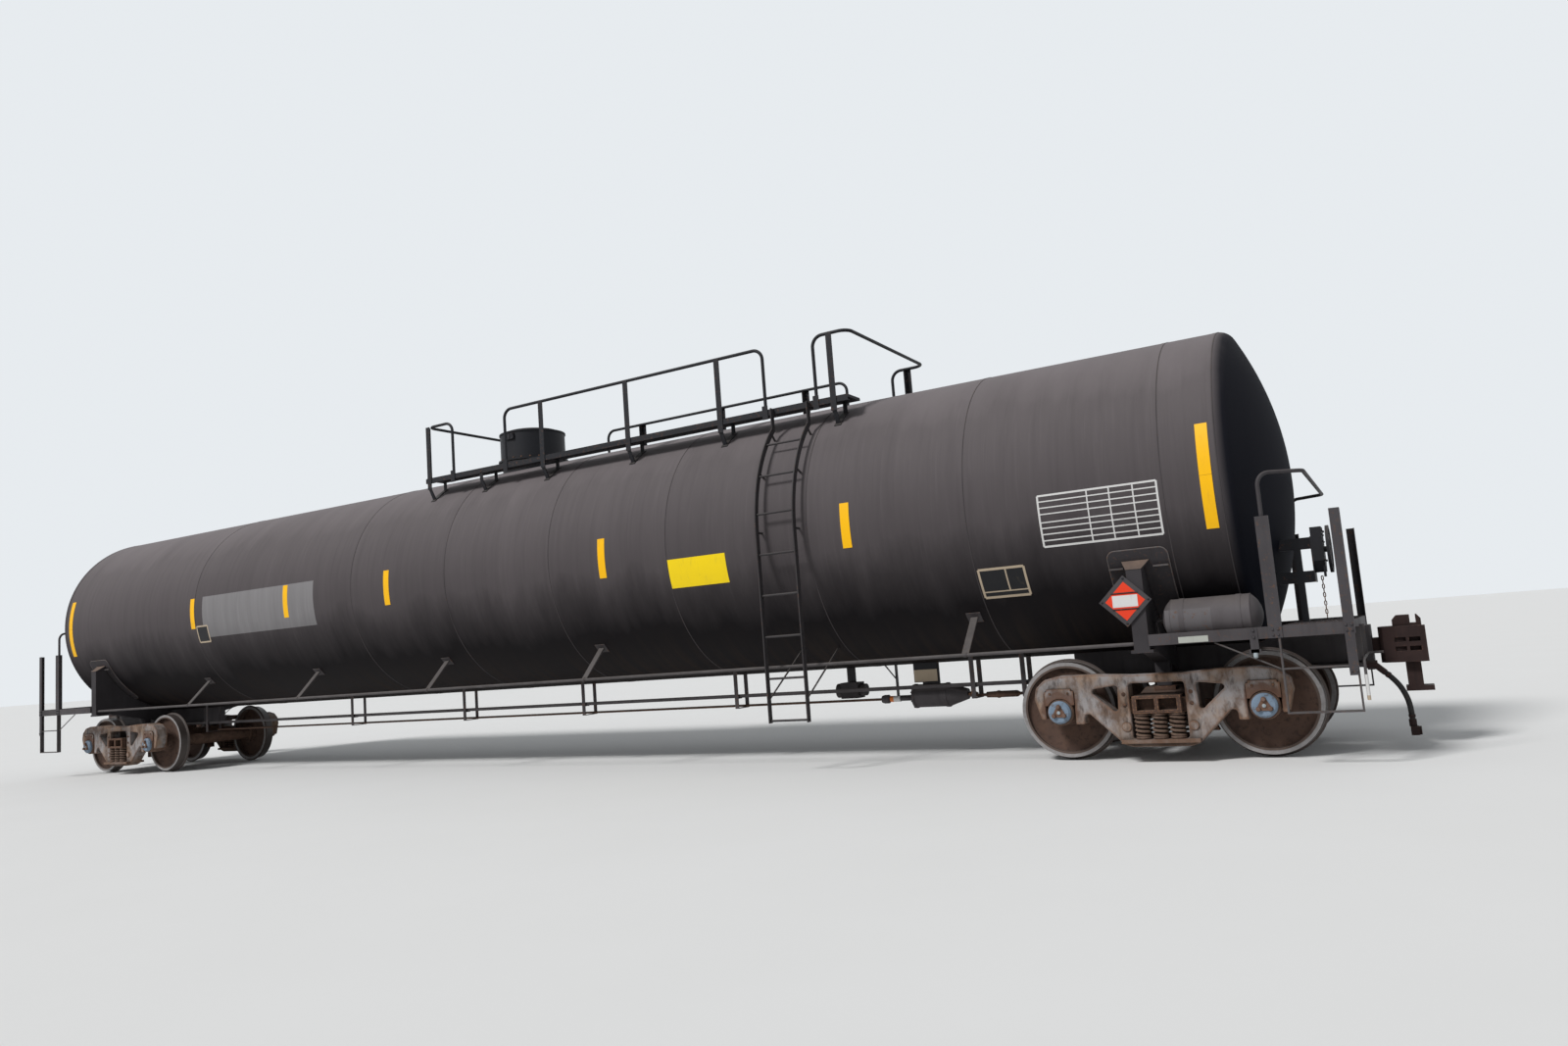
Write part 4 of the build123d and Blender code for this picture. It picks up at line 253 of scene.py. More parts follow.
def jacket_paint(name, colour, dark=0.93):
    """The tank's satin paint: streaks round the barrel, a crown lighter with dust and painted sunlight,
    grime and painted shade below, and heads painted dark as shade.
    """
    s = Surface(name, colour, 0.62, 0.06)
    broad = s.noise(0.55, 4, (1.6, 0.5, 0.5))
    s.cloud(broad, 0.35, 0.75, 0.3, tone_of(colour, 1.22))
    sheet = 0.0
    for seam in SEAMS:
        sheet = s.math("ADD", s.math("GREATER_THAN", s.x, seam), sheet)
    tone = s.add("TexWhiteNoise")
    tone.noise_dimensions = "1D"
    s.links.new(sheet, tone.inputs["W"])
    s.cloud(tone.outputs["Value"], 0, 1, 0.28, tone_of(colour, 0.7))
    streaks = s.noise(13, 6, (1, 0.05, 0.05), 0.62, 1.7)
    s.cloud(streaks, 0.46, 0.72, 0.38, tone_of(colour, 0.68), 0.66)
    pale = s.noise(31, 5, (1, 0.04, 0.04), 0.6, 5.3)
    s.cloud(pale, 0.56, 0.74, 0.22, tone_of(colour, 1.45), 0.7)
    wander = s.times(s.math("SUBTRACT", s.noise(1.9, 6, (1, 0.3, 0.3), 0.6), 0.5), 0.8)
    level = s.math("ADD", s.z, wander)
    # Lighter towards the crown: partly a dust film, partly painted sunlight on the top of the barrel
    s.cloud(level, 3.4, 3.9, 0.75, tone_of(colour, 1.55))
    # Darker towards the bottom: partly grime, partly painted shade on the lower barrel; dark sets how
    # much
    s.cloud(level, 3.5, 1.9, 0.6 * dark, (0.02, 0.017, 0.019), 0.62)
    s.cloud(level, 2.25, 1.55, dark, (0.0065, 0.0055, 0.0065), 0.6)
    splash = s.times(s.ramp(level, 1.55, 1.05), s.ramp(streaks, 0.42, 0.62, 0.05, 0.45))
    s.tint(splash, (0.04, 0.029, 0.023), 0.85)
    # Painted shade: the heads are painted dark and bluish, as if out of the sun and lit only by the sky
    ends = s.ramp(s.math("ABSOLUTE", s.x), BARREL_END - 0.01, BARREL_END + 0.08, 0, 0.94)
    s.tint(ends, (0.0055, 0.0065, 0.011), 0.85)
    specks = s.noise(46, 6, roughness=0.75, shift=9.1)
    s.cloud(specks, 0.67, 0.72, 0.55, (0.1, 0.062, 0.044), 0.85)
    settled = s.times(s.top_faces(), s.ramp(s.noise(3.1, 5), 0.3, 0.7, 0.05, 0.25))
    s.tint(settled, (0.16, 0.145, 0.14), 0.8)
    s.bump(s.noise(1.1, 3, (1, 0.6, 0.6)), 0.01, 0.3)
    s.bump(s.noise(9, 4, (1, 0.2, 0.2)), 0.0012, 0.3)
    s.bump(s.noise(220, 2), 0.0004, 0.3)
    return s.done()


def cast_steel():
    """Side frames: old pale paint over cast steel, brown at the edges, and dark dirt with painted shade
    in the corners.
    """
    s = Surface("side_frame_cast", (0.285, 0.265, 0.262), 0.72)
    s.cloud(s.noise(3.4, 6, roughness=0.6), 0.42, 0.6, 0.9, (0.27, 0.185, 0.13), 0.85)
    brown = s.noise(6.3, 6, (1, 1, 0.5), 0.65, 2.2)
    s.cloud(brown, 0.46, 0.62, 0.88, (0.11, 0.066, 0.044), 0.9)
    s.cloud(s.noise(15, 6, (1, 1, 0.35), 0.7, 4.1), 0.52, 0.66, 0.75, (0.045, 0.034, 0.03))
    worn = s.math("ADD", s.edges(0.03), s.math("SUBTRACT", s.noise(18, 5, roughness=0.7), 0.5))
    s.cloud(worn, 0.25, 0.6, 0.8, (0.17, 0.088, 0.052), 0.9)
    # Inner corners darker: partly dirt, partly painted shade found by occlusion
    s.tint(s.times(s.corners(0.06), 0.85), (0.035, 0.024, 0.018), 0.95)
    from_truck = s.math("ABSOLUTE", s.math("SUBTRACT", s.math("ABSOLUTE", s.x), TRUCK_X))
    jaw = s.distance(from_truck, AXLE_REACH, s.z, AXLE_Z + 0.03)
    loose = s.math("ADD", jaw, s.times(s.math("SUBTRACT", s.noise(9, 5), 0.5), 0.12))
    s.cloud(loose, 0.185, 0.15, 0.85, (0.115, 0.062, 0.043), 0.9)
    s.cloud(s.z, 0.34, 0.14, 0.45, (0.1, 0.07, 0.052), 0.9)
    s.bump(s.noise(34, 6, roughness=0.7), 0.004, 0.5)
    s.bump(s.noise(150, 3), 0.0008, 0.5)
    return s.done()


def wheel_steel(number):
    """A wheel: bright worn tread and rim edge, brown rust on the plate and the hub."""
    centre = middle(f"wheels_{number}")
    s = Surface(f"wheel_steel_{number}", (0.09, 0.056, 0.044), 0.85)
    reach = s.distance(s.x, centre.x, s.z, centre.z)
    s.cloud(s.noise(5, 6, roughness=0.65), 0.4, 0.65, 0.7, (0.125, 0.074, 0.053))
    s.cloud(s.noise(19, 6, roughness=0.7, shift=3), 0.52, 0.66, 0.7, (0.03, 0.021, 0.018))
    s.cloud(reach, 0.39, 0.4, 0.5, (0.115, 0.092, 0.08), 0.6)
    rim = s.ramp(s.math("ADD", reach, s.times(s.noise(11, 4), 0.006)), 0.419, 0.424)
    bright = s.times(rim, s.ramp(s.noise(30, 4), 0.3, 0.66, 1, 0.7))
    s.tint(bright, (0.315, 0.305, 0.305), 0.42)
    tread = s.ramp(s.math("ABSOLUTE", s.facing(1)), 0.75, 0.45)
    s.tint(s.times(tread, rim), (0.07, 0.058, 0.053), 0.3)
    s.cloud(reach, 0.4585, 0.462, 0.9, (0.06, 0.043, 0.036), 0.7)
    s.bump(s.noise(60, 5, roughness=0.7), 0.0018, 0.5)
    return s.done()


def bearing_steel(number):
    """An axle with its bearings: brown rust, and a pale blue end cap at each end."""
    centre = middle(f"axle_{number}")
    s = Surface(f"bearing_steel_{number}", (0.14, 0.085, 0.06), 0.8)
    s.tint(s.ramp(s.noise(14, 6, roughness=0.7), 0.45, 0.65), (0.075, 0.045, 0.034))
    out = s.math("ABSOLUTE", s.y)
    reach = s.distance(s.x, centre.x, s.z, centre.z)
    s.tint(s.times(s.ramp(out, 1.098, 1.1), s.ramp(reach, 0.108, 0.106)), (0.175, 0.235, 0.31), 0.5)
    smear = s.ramp(s.noise(24, 6, roughness=0.7, shift=4), 0.52, 0.64, 0, 0.75)
    s.tint(s.times(smear, s.ramp(out, 1.09, 1.1)), (0.1, 0.085, 0.075), 0.8)
    s.tint(s.ramp(out, 1.1448, 1.1456), (0.145, 0.082, 0.057), 0.85)
    s.bump(s.noise(70, 5, roughness=0.7), 0.001, 0.5)
    return s.done()


def scratched_sign(name, colour, roughness=0.45):
    """Flat coloured sheet, a little faded, with scratches and road dirt."""
    s = Surface(name, colour, roughness)
    s.cloud(s.noise(5, 5), 0.4, 0.7, 0.2, tuple(0.78 * part + 0.015 for part in colour))
    s.cloud(s.noise(21, 6, (1, 1, 0.15), 0.7, 2), 0.57, 0.72, 0.22, (0.13, 0.1, 0.06), 0.8)
    specks = s.noise(90, 6, roughness=0.75, shift=6)
    s.cloud(specks, 0.66, 0.72, 0.45, (0.1, 0.075, 0.05), 0.8)
    s.bump(s.noise(60, 3), 0.0006, 0.4)
    return s.done()


def coil_steel():
    """Spring coils: dark brown, with a painted highlight on their upper faces and dirt with painted
    shade between the turns.
    """
    s = Surface("spring_steel", (0.13, 0.083, 0.062), 0.75)
    s.cloud(s.noise(30, 6, roughness=0.7), 0.45, 0.62, 0.8, (0.055, 0.034, 0.026))
    # Painted highlight: the upper faces of the coils made paler, as if lit from above
    s.tint(s.times(s.top_faces(), 0.7), (0.2, 0.14, 0.1), 0.85)
    # Gaps between the turns darker: partly dirt, partly painted shade found by occlusion
    s.tint(s.corners(0.02), (0.028, 0.018, 0.014), 0.95)
    s.bump(s.noise(110, 4), 0.0007, 0.5)
    return s.done()


def hose_rubber():
    s = Surface("hose_rubber", (0.02, 0.019, 0.019), 0.62)
    s.cloud(s.noise(16, 6, roughness=0.65), 0.45, 0.68, 0.6, (0.06, 0.05, 0.043), 0.85)
    s.cloud(s.noise(120, 4, (1, 1, 0.3)), 0.6, 0.66, 0.5, (0.01, 0.01, 0.01))
    s.bump(s.noise(260, 3), 0.0006, 0.6)
    return s.done()


TANK = jacket_paint("tank_jacket", (0.122, 0.107, 0.11))
REPAINT = jacket_paint("repainted_jacket", (0.258, 0.248, 0.252), 0.42)
SEAM = weathered(
    "seam_sealant", (0.058, 0.051, 0.053), (0.03, 0.027, 0.028), (0.09, 0.055, 0.04), 0.7, 0.5, 0.15
)
FRAME = weathered(
    "frame_paint", (0.066, 0.059, 0.062), (0.028, 0.024, 0.025), (0.115, 0.062, 0.042), 0.6, 0.6, 0.15
)
BOLSTER_DUST = (0.215, 0.15, 0.115)
BOLSTER = weathered(
    "bolster_paint", (0.038, 0.034, 0.037), (0.022, 0.019, 0.02), (0.12, 0.066, 0.045), 0.7, 0.6, 0.08,
    dusty=0.7, dust=BOLSTER_DUST
)
RAILING = weathered(
    "railing_paint", (0.06, 0.055, 0.059), (0.03, 0.026, 0.028), (0.11, 0.066, 0.048), 0.6, 0.5, 0.1
)
LADDER = weathered(
    "ladder_paint", (0.042, 0.038, 0.04), (0.022, 0.019, 0.02), (0.1, 0.06, 0.045), 0.6, 0.5, 0.15
)
BAR = weathered(
    "worn_bar", (0.085, 0.077, 0.078), (0.045, 0.039, 0.038), (0.13, 0.078, 0.056), 0.6, 0.5, 0.2, 2
)
BLACK = weathered(
    "black_paint", (0.011, 0.0115, 0.015), (0.02, 0.018, 0.019), (0.075, 0.045, 0.036), 0.5, 0.4, 0.1
)
RESERVOIR = weathered(
    "reservoir_paint", (0.092, 0.082, 0.086), (0.052, 0.044, 0.045), (0.12, 0.07, 0.05), 0.6, 0.5, 0.02
)
RESERVOIR_PATCH = weathered(
    "reservoir_patch", (0.112, 0.103, 0.107), (0.07, 0.062, 0.065), (0.12, 0.07, 0.05), 0.6, 0.5, 0.02
)
CAST = cast_steel()
RUST = weathered(
    "rusted_steel", (0.1, 0.058, 0.042), (0.038, 0.025, 0.02), (0.2, 0.105, 0.062), 0.85, 0.7, 0.6, 2
)
PALE_RUST = weathered(
    "pale_rust", (0.18, 0.115, 0.088), (0.09, 0.056, 0.043), (0.17, 0.085, 0.054), 0.85, 0.6, 0.5, 2
)
COUPLER = weathered(
    "coupler_steel", (0.033, 0.018, 0.016), (0.016, 0.01, 0.01), (0.085, 0.042, 0.031), 0.75, 0.6, 0.3, 2
)
SPRING = coil_steel()
RUBBER = hose_rubber()
STRIPE = scratched_sign("stripe_yellow", (0.95, 0.5, 0.002))
SIGN_YELLOW = scratched_sign("sign_yellow", (0.92, 0.66, 0.006))
SIGN_WHITE = scratched_sign("stencil_white", (0.64, 0.63, 0.62))
SIGN_BUFF = scratched_sign("stencil_buff", (0.46, 0.37, 0.27))
SIGN_RED = scratched_sign("placard_red", (0.74, 0.048, 0.015))
SIGN_BLACK = scratched_sign("stencil_black", (0.012, 0.012, 0.014))
WELD = weathered(
    "weld_bead", (0.115, 0.103, 0.102), (0.06, 0.052, 0.052), (0.13, 0.075, 0.052), 0.6, 0.4, 0.2, 2
)
LABEL = scratched_sign("label_pale", (0.4, 0.41, 0.37))
ORANGE = scratched_sign("lever_orange", (0.7, 0.2, 0.05))
LIGHT_BOLT = weathered(
    "light_bolt", (0.36, 0.42, 0.45), (0.15, 0.13, 0.12), (0.2, 0.12, 0.08), 0.5, 0.4, 0.2, 6
)

FINISHES = (
    # material, how the names of its nodes start
    (TANK, "tank_shell"),
    (FRAME, "stub_sills", "end_platforms", "brake_cylinder", "control_valve", "train_pipe"),
    (BOLSTER, "body_bolsters"),
    (RAILING, "end_railings", "placard_boards"),
    (BAR, "sill_steps", "side_handrails", "uncoupling_levers"),
    (LADDER, "side_ladders"),
    (BLACK, "top_platform", "platform_railing", "valve_housing", "housing_lid", "handbrake"),
    (PALE_RUST, "valves"),
    (RESERVOIR, "air_reservoir"),
    (RUST, "brake_rigging", "truck_bolster", "brake_beams"),
    (COUPLER, "angle_cocks", "hose_coupling", "coupler", "knuckle"),
    (RUBBER, "air_hose"),
    (CAST, "side_frames"),
    (SPRING, "spring_nests"),
)
for name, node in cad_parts.items():
    found = [material for material, *starts in FINISHES if name.startswith(tuple(starts))]
    if name.startswith("wheels"):
        found = [wheel_steel(name[-1])]
    if name.startswith("axle"):
        found = [bearing_steel(name[-1])]
    for slot in node.material_slots:
        slot.material = found[0]


# Mesh pieces
def circle(count, shift=0):
    """Angles evenly spaced round a circle."""
    return [2 * pi * (step + shift) / count for step in range(count)]


class Piece:
    """One named mesh, filled step by step, that ends up riding on a body."""

    def __init__(self, name):
        self.name = name
        self.form = bmesh.new()
        self.vert = self.form.verts.new
        self.face = self.form.faces.new

    def prism(self, outline, away):
        """A flat outline drawn out along a vector."""
        base = [Vector(point) for point in outline]
        low = [self.vert(point) for point in base]
        high = [self.vert(point + Vector(away)) for point in base]
        self.face(low)
        self.face(high[::-1])
        for here in range(len(base)):
            there = (here + 1) % len(base)
            self.face((low[here], high[here], high[there], low[there]))

    def bar(self, start, end):
        """A straight bar between two opposite corners, in any order."""
        (x0, x1), (y0, y1), (z0, z1) = (sorted(pair) for pair in zip(start, end))
        self.prism([(x0, y0, z0), (x1, y0, z0), (x1, y1, z0), (x0, y1, z0)], (0, 0, z1 - z0))

    def turned(self, profile, centre, axis, steps=24):
        """A profile of (along the axis, radius) pairs turned round an axis."""
        axis = Vector(axis).normalized()
        first = axis.orthogonal().normalized()
        second = axis.cross(first)
        rings = []
        for angle in circle(steps):
            out = first * cos(angle) + second * sin(angle)
            points = [Vector(centre) + axis * along + out * radius for along, radius in profile]
            rings.append([self.vert(point) for point in points])
        for near, far in zip(rings, rings[1:] + rings[:1]):
            for low in range(len(profile) - 1):
                self.face((near[low], near[low + 1], far[low + 1], far[low]))

    def tube(self, points, radius, sides=8, closed=False):
        """A round bar along a line of points."""
        points = [Vector(point) for point in points]
        count = len(points)
        rings = []
        across = None
        for here, point in enumerate(points):
            before = points[here - 1] if here or closed else point
            after = points[(here + 1) % count] if here + 1 < count or closed else point
            run = (after - before).normalized()
            across = run.orthogonal() if across is None else across - run * across.dot(run)
            across.normalize()
            other = run.cross(across)
            ring = []
            for angle in circle(sides):
                out = across * cos(angle) + other * sin(angle)
                ring.append(self.vert(point + out * radius))
            rings.append(ring)
        for near, far in zip(rings, rings[1:] + (rings[:1] if closed else [])):
            for side in range(sides):
                beside = (side + 1) % sides
                self.face((near[side], near[beside], far[beside], far[side]))
        if not closed:
            self.face(rings[0][::-1])
            self.face(rings[-1])

    def bolt(self, place, out, size):
        """A hexagon head with rounded corners on a washer; size is its width."""
        washer = ((0, 0.62), (0.1, 0.62), (0.1, 0.4))
        head = ((0.1, 0.57), (0.5, 0.57), (0.62, 0.46), (0.62, 0))
        for profile, steps in ((washer, 12), (head, 6)):
            profile = [(along * size, radius * size) for along, radius in profile]
            self.turned(profile, place, out, steps)

    def band(self, place, axis, half, inner, outer, steps):
        """A flat ring of a half width between two radii."""
        profile = [(-half, inner), (-half, outer), (half, outer), (half, inner)]
        self.turned(profile, place, axis, steps)

    def patch(self, along, heights, side, proud, axis=(0, TANK_Z), radius=TANK_RADIUS, steps=10):
        """A curved plate on a cylinder that lies along the car, between two heights on one side."""
        middle_y, middle_z = axis
        angles = [asin((height - middle_z) / radius) for height in heights]
        section = []
        for reach, order in ((radius + proud, range(steps + 1)), (radius - 0.003, range(steps, -1, -1))):
            for step in order:
                angle = angles[0] + (angles[1] - angles[0]) * step / steps
                y = middle_y + side * reach * cos(angle)
                section.append((along[0], y, middle_z + reach * sin(angle)))
        count = len(section)
        near = [self.vert(point) for point in section]
        far = [self.vert((along[1], y, z)) for x, y, z in section]
        for here in range(count):
            there = (here + 1) % count
            self.face((near[here], near[there], far[there], far[here]))
        for edge in (near, far):
            for step in range(steps):
                last = count - 1 - step
                self.face((edge[step], edge[step + 1], edge[last - 1], edge[last]))

    def done(self, body, material, slot="dark_steel"):
        """Makes the mesh with its material and lets it ride on a body; the slot is not used."""
        bmesh.ops.recalc_face_normals(self.form, faces=self.form.faces)
        mesh = bpy.data.meshes.new(self.name)
        self.form.to_mesh(mesh)
        self.form.free()
        mesh.materials.append(material)
        mesh.shade_smooth()
        mesh.set_sharp_from_angle(angle=radians(32))
        piece = bpy.data.objects.new(self.name, mesh)
        scene.collection.objects.link(piece)
        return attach(piece, body)


# Air hose, along the points that the source gives
HOSE_DIAMETER = 0.046
HOSE_ROUTE = (
    (10.2393, -0.39, 0.67),
    (10.3171, -0.39, 0.5922),
    (10.3771, -0.387, 0.4622),
    (10.3951, -0.388, 0.3522),
    (10.3951, -0.388, 0.2622),
)
line = bpy.data.curves.new("dressed_hose", "CURVE")
line.dimensions = "3D"
line.bevel_depth = HOSE_DIAMETER / 2
line.bevel_resolution = 6
line.resolution_u = 16
line.use_fill_caps = True
spline = line.splines.new("NURBS")
spline.points.add(len(HOSE_ROUTE) - 1)
for point, place in zip(spline.points, HOSE_ROUTE):
    point.co = (*place, 1)
spline.order_u = 3
spline.use_endpoint_u = True
line.materials.append(RUBBER)
hose = bpy.data.objects.new("dressed_hose", line)
scene.collection.objects.link(hose)
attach(hose, "car")
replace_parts(hose, "air_hose")
clamps = Piece("hose_clamps")
top_run = (Vector(HOSE_ROUTE[1]) - Vector(HOSE_ROUTE[0])).normalized()
for place, run in (
    (Vector(HOSE_ROUTE[0]) + top_run * 0.028, top_run),
    (Vector(HOSE_ROUTE[-1]) + Vector((0, 0, 0.03)), Vector((0, 0, -1))),
):
    clamps.band(place, run, 0.011, 0.02, 0.027, 24)
    clamps.bar(place + Vector((-0.009, -0.044, -0.009)), place + Vector((0.009, -0.024, 0.009)))
    clamps.bolt(place + Vector((0.008, -0.037, 0)), (1, 0, 0), 0.013)
clamps = clamps.done("car", COUPLER, "rusty_casting")

# Ring seams of the jacket: a raised lap, and the bead at its edge
lap = ((-0.04, -0.002), (-0.038, 0.0018), (0.004, 0.0022), (0.005, -0.002))
bead = ((0.003, -0.002), (0.004, 0.0032), (0.012, 0.0028), (0.015, -0.002))
for name, profile, material in (("jacket_laps", lap, TANK), ("jacket_seams", bead, SEAM)):
    seams = Piece(name)
    profile = [(along, TANK_RADIUS + rise) for along, rise in profile]
    for x in SEAMS:
        seams.turned(profile, (x, 0, TANK_Z), (1, 0, 0), 128)
    seams.done("car", material, "tank_jacket")

# Reflective stripes on both sides, in lengths of 457 mm
STRIPE_WIDTH = 0.102
STRIPE_JOINT = 0.002
STRIPE_PROUD = 0.0035
STRIPES = (
    # x, lower edge, middle or upper edge, upper edge or none: heights above the rail
    (-9.066, 1.995, 2.453, 2.911),
    (9.12, 1.995, 2.453, 2.911),
    (-5.59, 2.21, 2.67, None),
    (-3.34, 2.21, 2.67, None),
    (-1.217, 2.21, 2.67, None),
    (2.466, 2.21, 2.67, None),
    (5.65, 2.21, 2.67, None),
)
stripes = Piece("reflective_stripes")
for x, low, between, high in STRIPES:
    lengths = [(low, between)] + ([(between + STRIPE_JOINT, high)] if high else [])
    for start, end in lengths:
        for side in SIDES:
            along = (-side * x - STRIPE_WIDTH / 2, -side * x + STRIPE_WIDTH / 2)
            stripes.patch(along, (start + RAIL, end + RAIL), side, STRIPE_PROUD)
stripes.done("car", STRIPE, None)

# Blank panels on the near side of the tank: heights above the rail
LINE = 0.022
THIN_LINE = 0.011
PAINT = 0.0026
GROUND = 0.002
table = Piece("white_outlined_table")
TABLE_COLUMNS = (7.645, 8.097, 8.295, 8.503, 8.708)
TABLE_ROWS = (1.998, 2.053, 2.11, 2.166, 2.218, 2.294, 2.352, 2.41, 2.465)
for x in TABLE_COLUMNS:
    half = THIN_LINE * (0.8 if x in (TABLE_COLUMNS[0], TABLE_COLUMNS[-1]) else 0.55)
    table.patch((x - half, x + half), (TABLE_ROWS[0] + RAIL, TABLE_ROWS[-1] + RAIL), -1, PAINT)
for height in TABLE_ROWS:
    half = THIN_LINE * (0.8 if height in (TABLE_ROWS[0], TABLE_ROWS[-1]) else 0.5)
    edges = (height + RAIL - half, height + RAIL + half)
    table.patch((TABLE_COLUMNS[0], TABLE_COLUMNS[-1]), edges, -1, PAINT * 1.1, steps=1)
table.done("car", SIGN_WHITE, None)

OUTLINES = (
    # x from, x to, lower edge, upper edge, divider's x or none, strip's height or none
    (6.961, 7.409, 1.586, 1.85, 7.227, 0.052),
    (-5.506, -5.24, 1.998, 2.238, None, None),
)
outlines = Piece("buff_outlines")
grounds = Piece("outline_grounds")
for start, end, low, high, divider, strip in OUTLINES:
    low += RAIL
    high += RAIL
    grounds.patch((start, end), (low, high), -1, GROUND)
    for x in (start, end):
        outlines.patch((x - LINE / 2, x + LINE / 2), (low, high), -1, PAINT, steps=4)
    for height, thick in ((low, LINE), (high, LINE), (strip and low + strip, LINE / 2)):
        if height:
            edges = (height - thick / 2, height + thick / 2)
            outlines.patch((start, end), edges, -1, PAINT * 1.1, steps=1)
    if divider:
        edges = (divider - LINE / 3, divider + LINE / 3)
        outlines.patch(edges, (low + strip, high), -1, PAINT, steps=4)
outlines.done("car", SIGN_BUFF, None)
grounds.done("car", SIGN_BLACK, None)

SIGN_X = (3.4, 4.167)
SIGN_HEIGHTS = (2.003 + RAIL, 2.322 + RAIL)
sign = Piece("blank_yellow_sign")
sign.patch(SIGN_X, SIGN_HEIGHTS, -1, 0.0025)
sign.done("car", SIGN_YELLOW, None)
REPAINT_X = (-5.335, -2.724)
REPAINT_HEIGHTS = (2.06 + RAIL, 2.68 + RAIL)
repaint = Piece("repainted_patch")
repaint.patch(REPAINT_X, REPAINT_HEIGHTS, -1, 0.0018)
repaint.done("car", REPAINT, "tank_jacket")

# Placards: a red diamond in each board's frame, with a blank white panel across it
placard_low, placard_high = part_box("placard_boards")
BOARD_HALF = (placard_high.z - placard_low.z) / 2
BOARD_Z = (placard_high.z + placard_low.z) / 2
BOARD_X = placard_high.x - BOARD_HALF
SHEET_HALF = 0.172
PANEL_WIDTH = 0.218
PANEL_HEIGHT = 0.104
red = Piece("placard_sheets")
white = Piece("placard_panels")
dark = Piece("placard_clips")
diamond = ((-SHEET_HALF, 0), (0, SHEET_HALF), (SHEET_HALF, 0), (0, -SHEET_HALF))
for side in SIDES:
    x = -side * BOARD_X
    face = side * placard_high.y
    sheet = [(x + across, face - side * 0.001, BOARD_Z + rise) for across, rise in diamond]
    red.prism(sheet, (0, side * 0.0025, 0))
    white.bar(
        (x - PANEL_WIDTH / 2, face - side * 0.001, BOARD_Z - PANEL_HEIGHT / 2),
        (x + PANEL_WIDTH / 2, face + side * 0.0028, BOARD_Z + PANEL_HEIGHT / 2),
    )
    # Two clips that cross the diamond, and a rivet in each corner
    for rise in (-0.071, 0.071):
        half = SHEET_HALF - abs(rise) + 0.012
        y = face + side * 0.004
        z = BOARD_Z + rise
        dark.tube([(x - half, y, z), (x + half, y, z)], 0.006, 6)
    for across, rise in diamond:
        place = (x + across * 1.16, face, BOARD_Z + rise * 1.16)
        dark.turned([(0, 0.011), (0.004, 0.009), (0.006, 0)], place, (0, side, 0), 12)
red.done("car", SIGN_RED, "placard")
white.done("car", SIGN_WHITE, "placard")
dark.done("car", BLACK)

# Blank pale label on each side sill, and the small bracket that hangs below the sill
SILL_Y = 1.5
LABEL_X = (8.74, 8.983)
LABEL_Z = (1.065, 1.117)
SILL_BRACKET_X = 9.34
SILL_BRACKET_LOW = 0.945
labels = Piece("sill_labels")
brackets = Piece("sill_brackets")
knobs = Piece("sill_bracket_knobs")
knob = ((0, 0.016), (0.012, 0.019), (0.034, 0.019), (0.044, 0.012), (0.046, 0))
for side in SIDES:
    start = (-side * LABEL_X[0], side * (SILL_Y - 0.001), LABEL_Z[0])
    labels.bar(start, (-side * LABEL_X[1], side * (SILL_Y + 0.003), LABEL_Z[1]))
    x = -side * SILL_BRACKET_X
    for high, wide in ((1.15, 0.032), (0.975, 0.046)):
        start = (x - wide, side * (SILL_Y - 0.01), SILL_BRACKET_LOW)
        brackets.bar(start, (x + wide, side * (SILL_Y + 0.006), high))
    for height in (1.075, 1.13):
        brackets.bolt((x, side * (SILL_Y + 0.006), height), (0, side, 0), 0.019)
    knobs.turned(knob, (x, side * SILL_Y, SILL_BRACKET_LOW + 0.001), (0, 0, -1), 16)
labels.done("car", LABEL, None)
brackets.done("car", RAILING)
knobs.done("car", LIGHT_BOLT, None)

# Coil springs, three of them one in the other on each place of the nests
SPRING_RADIUS = 0.07
ROW_PITCH = 0.144
COILS = (
    # radius over the coil, radius of its wire, turns
    (SPRING_RADIUS, 0.0125, 6.7),
    (0.043, 0.0085, 10.5),
    (0.024, 0.006, 14.5),
)


def coil(piece, foot, height, reach, wire, turns):
    """A spring whose end turns lie flat on their seats."""
    points = []
    steps = int(turns * 18)
    middle_reach = reach - wire
    for step in range(steps + 1):
        turn = turns * step / steps
        share = min(max((turn - 0.7) / (turns - 1.4), 0), 1)
        angle = -2 * pi * turn
        rise = wire + (height - 2 * wire) * share
        place = Vector((middle_reach * cos(angle), middle_reach * sin(angle), rise))
        points.append(Vector(foot) + place)
    piece.tube(points, wire, 8)


for end in "ba":
    low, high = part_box(f"spring_nests_{end}")
    truck = middle(f"spring_nests_{end}")
    height = high.z - low.z
    half_length = (high.x - low.x) / 2 - SPRING_RADIUS
    outer_row = high.y - SPRING_RADIUS
    inner_row = outer_row - ROW_PITCH
    springs = Piece(f"coil_springs_{end}")
    for side in SIDES:
        for along in (-half_length, 0, half_length):
            for row in (outer_row, inner_row):
                foot = (truck.x + along, side * row, low.z)
                for reach, wire, turns in COILS:
                    coil(springs, foot, height, reach, wire, turns)
    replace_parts(springs.done(f"truck_{end}", SPRING, "rusty_casting"), f"spring_nests_{end}")

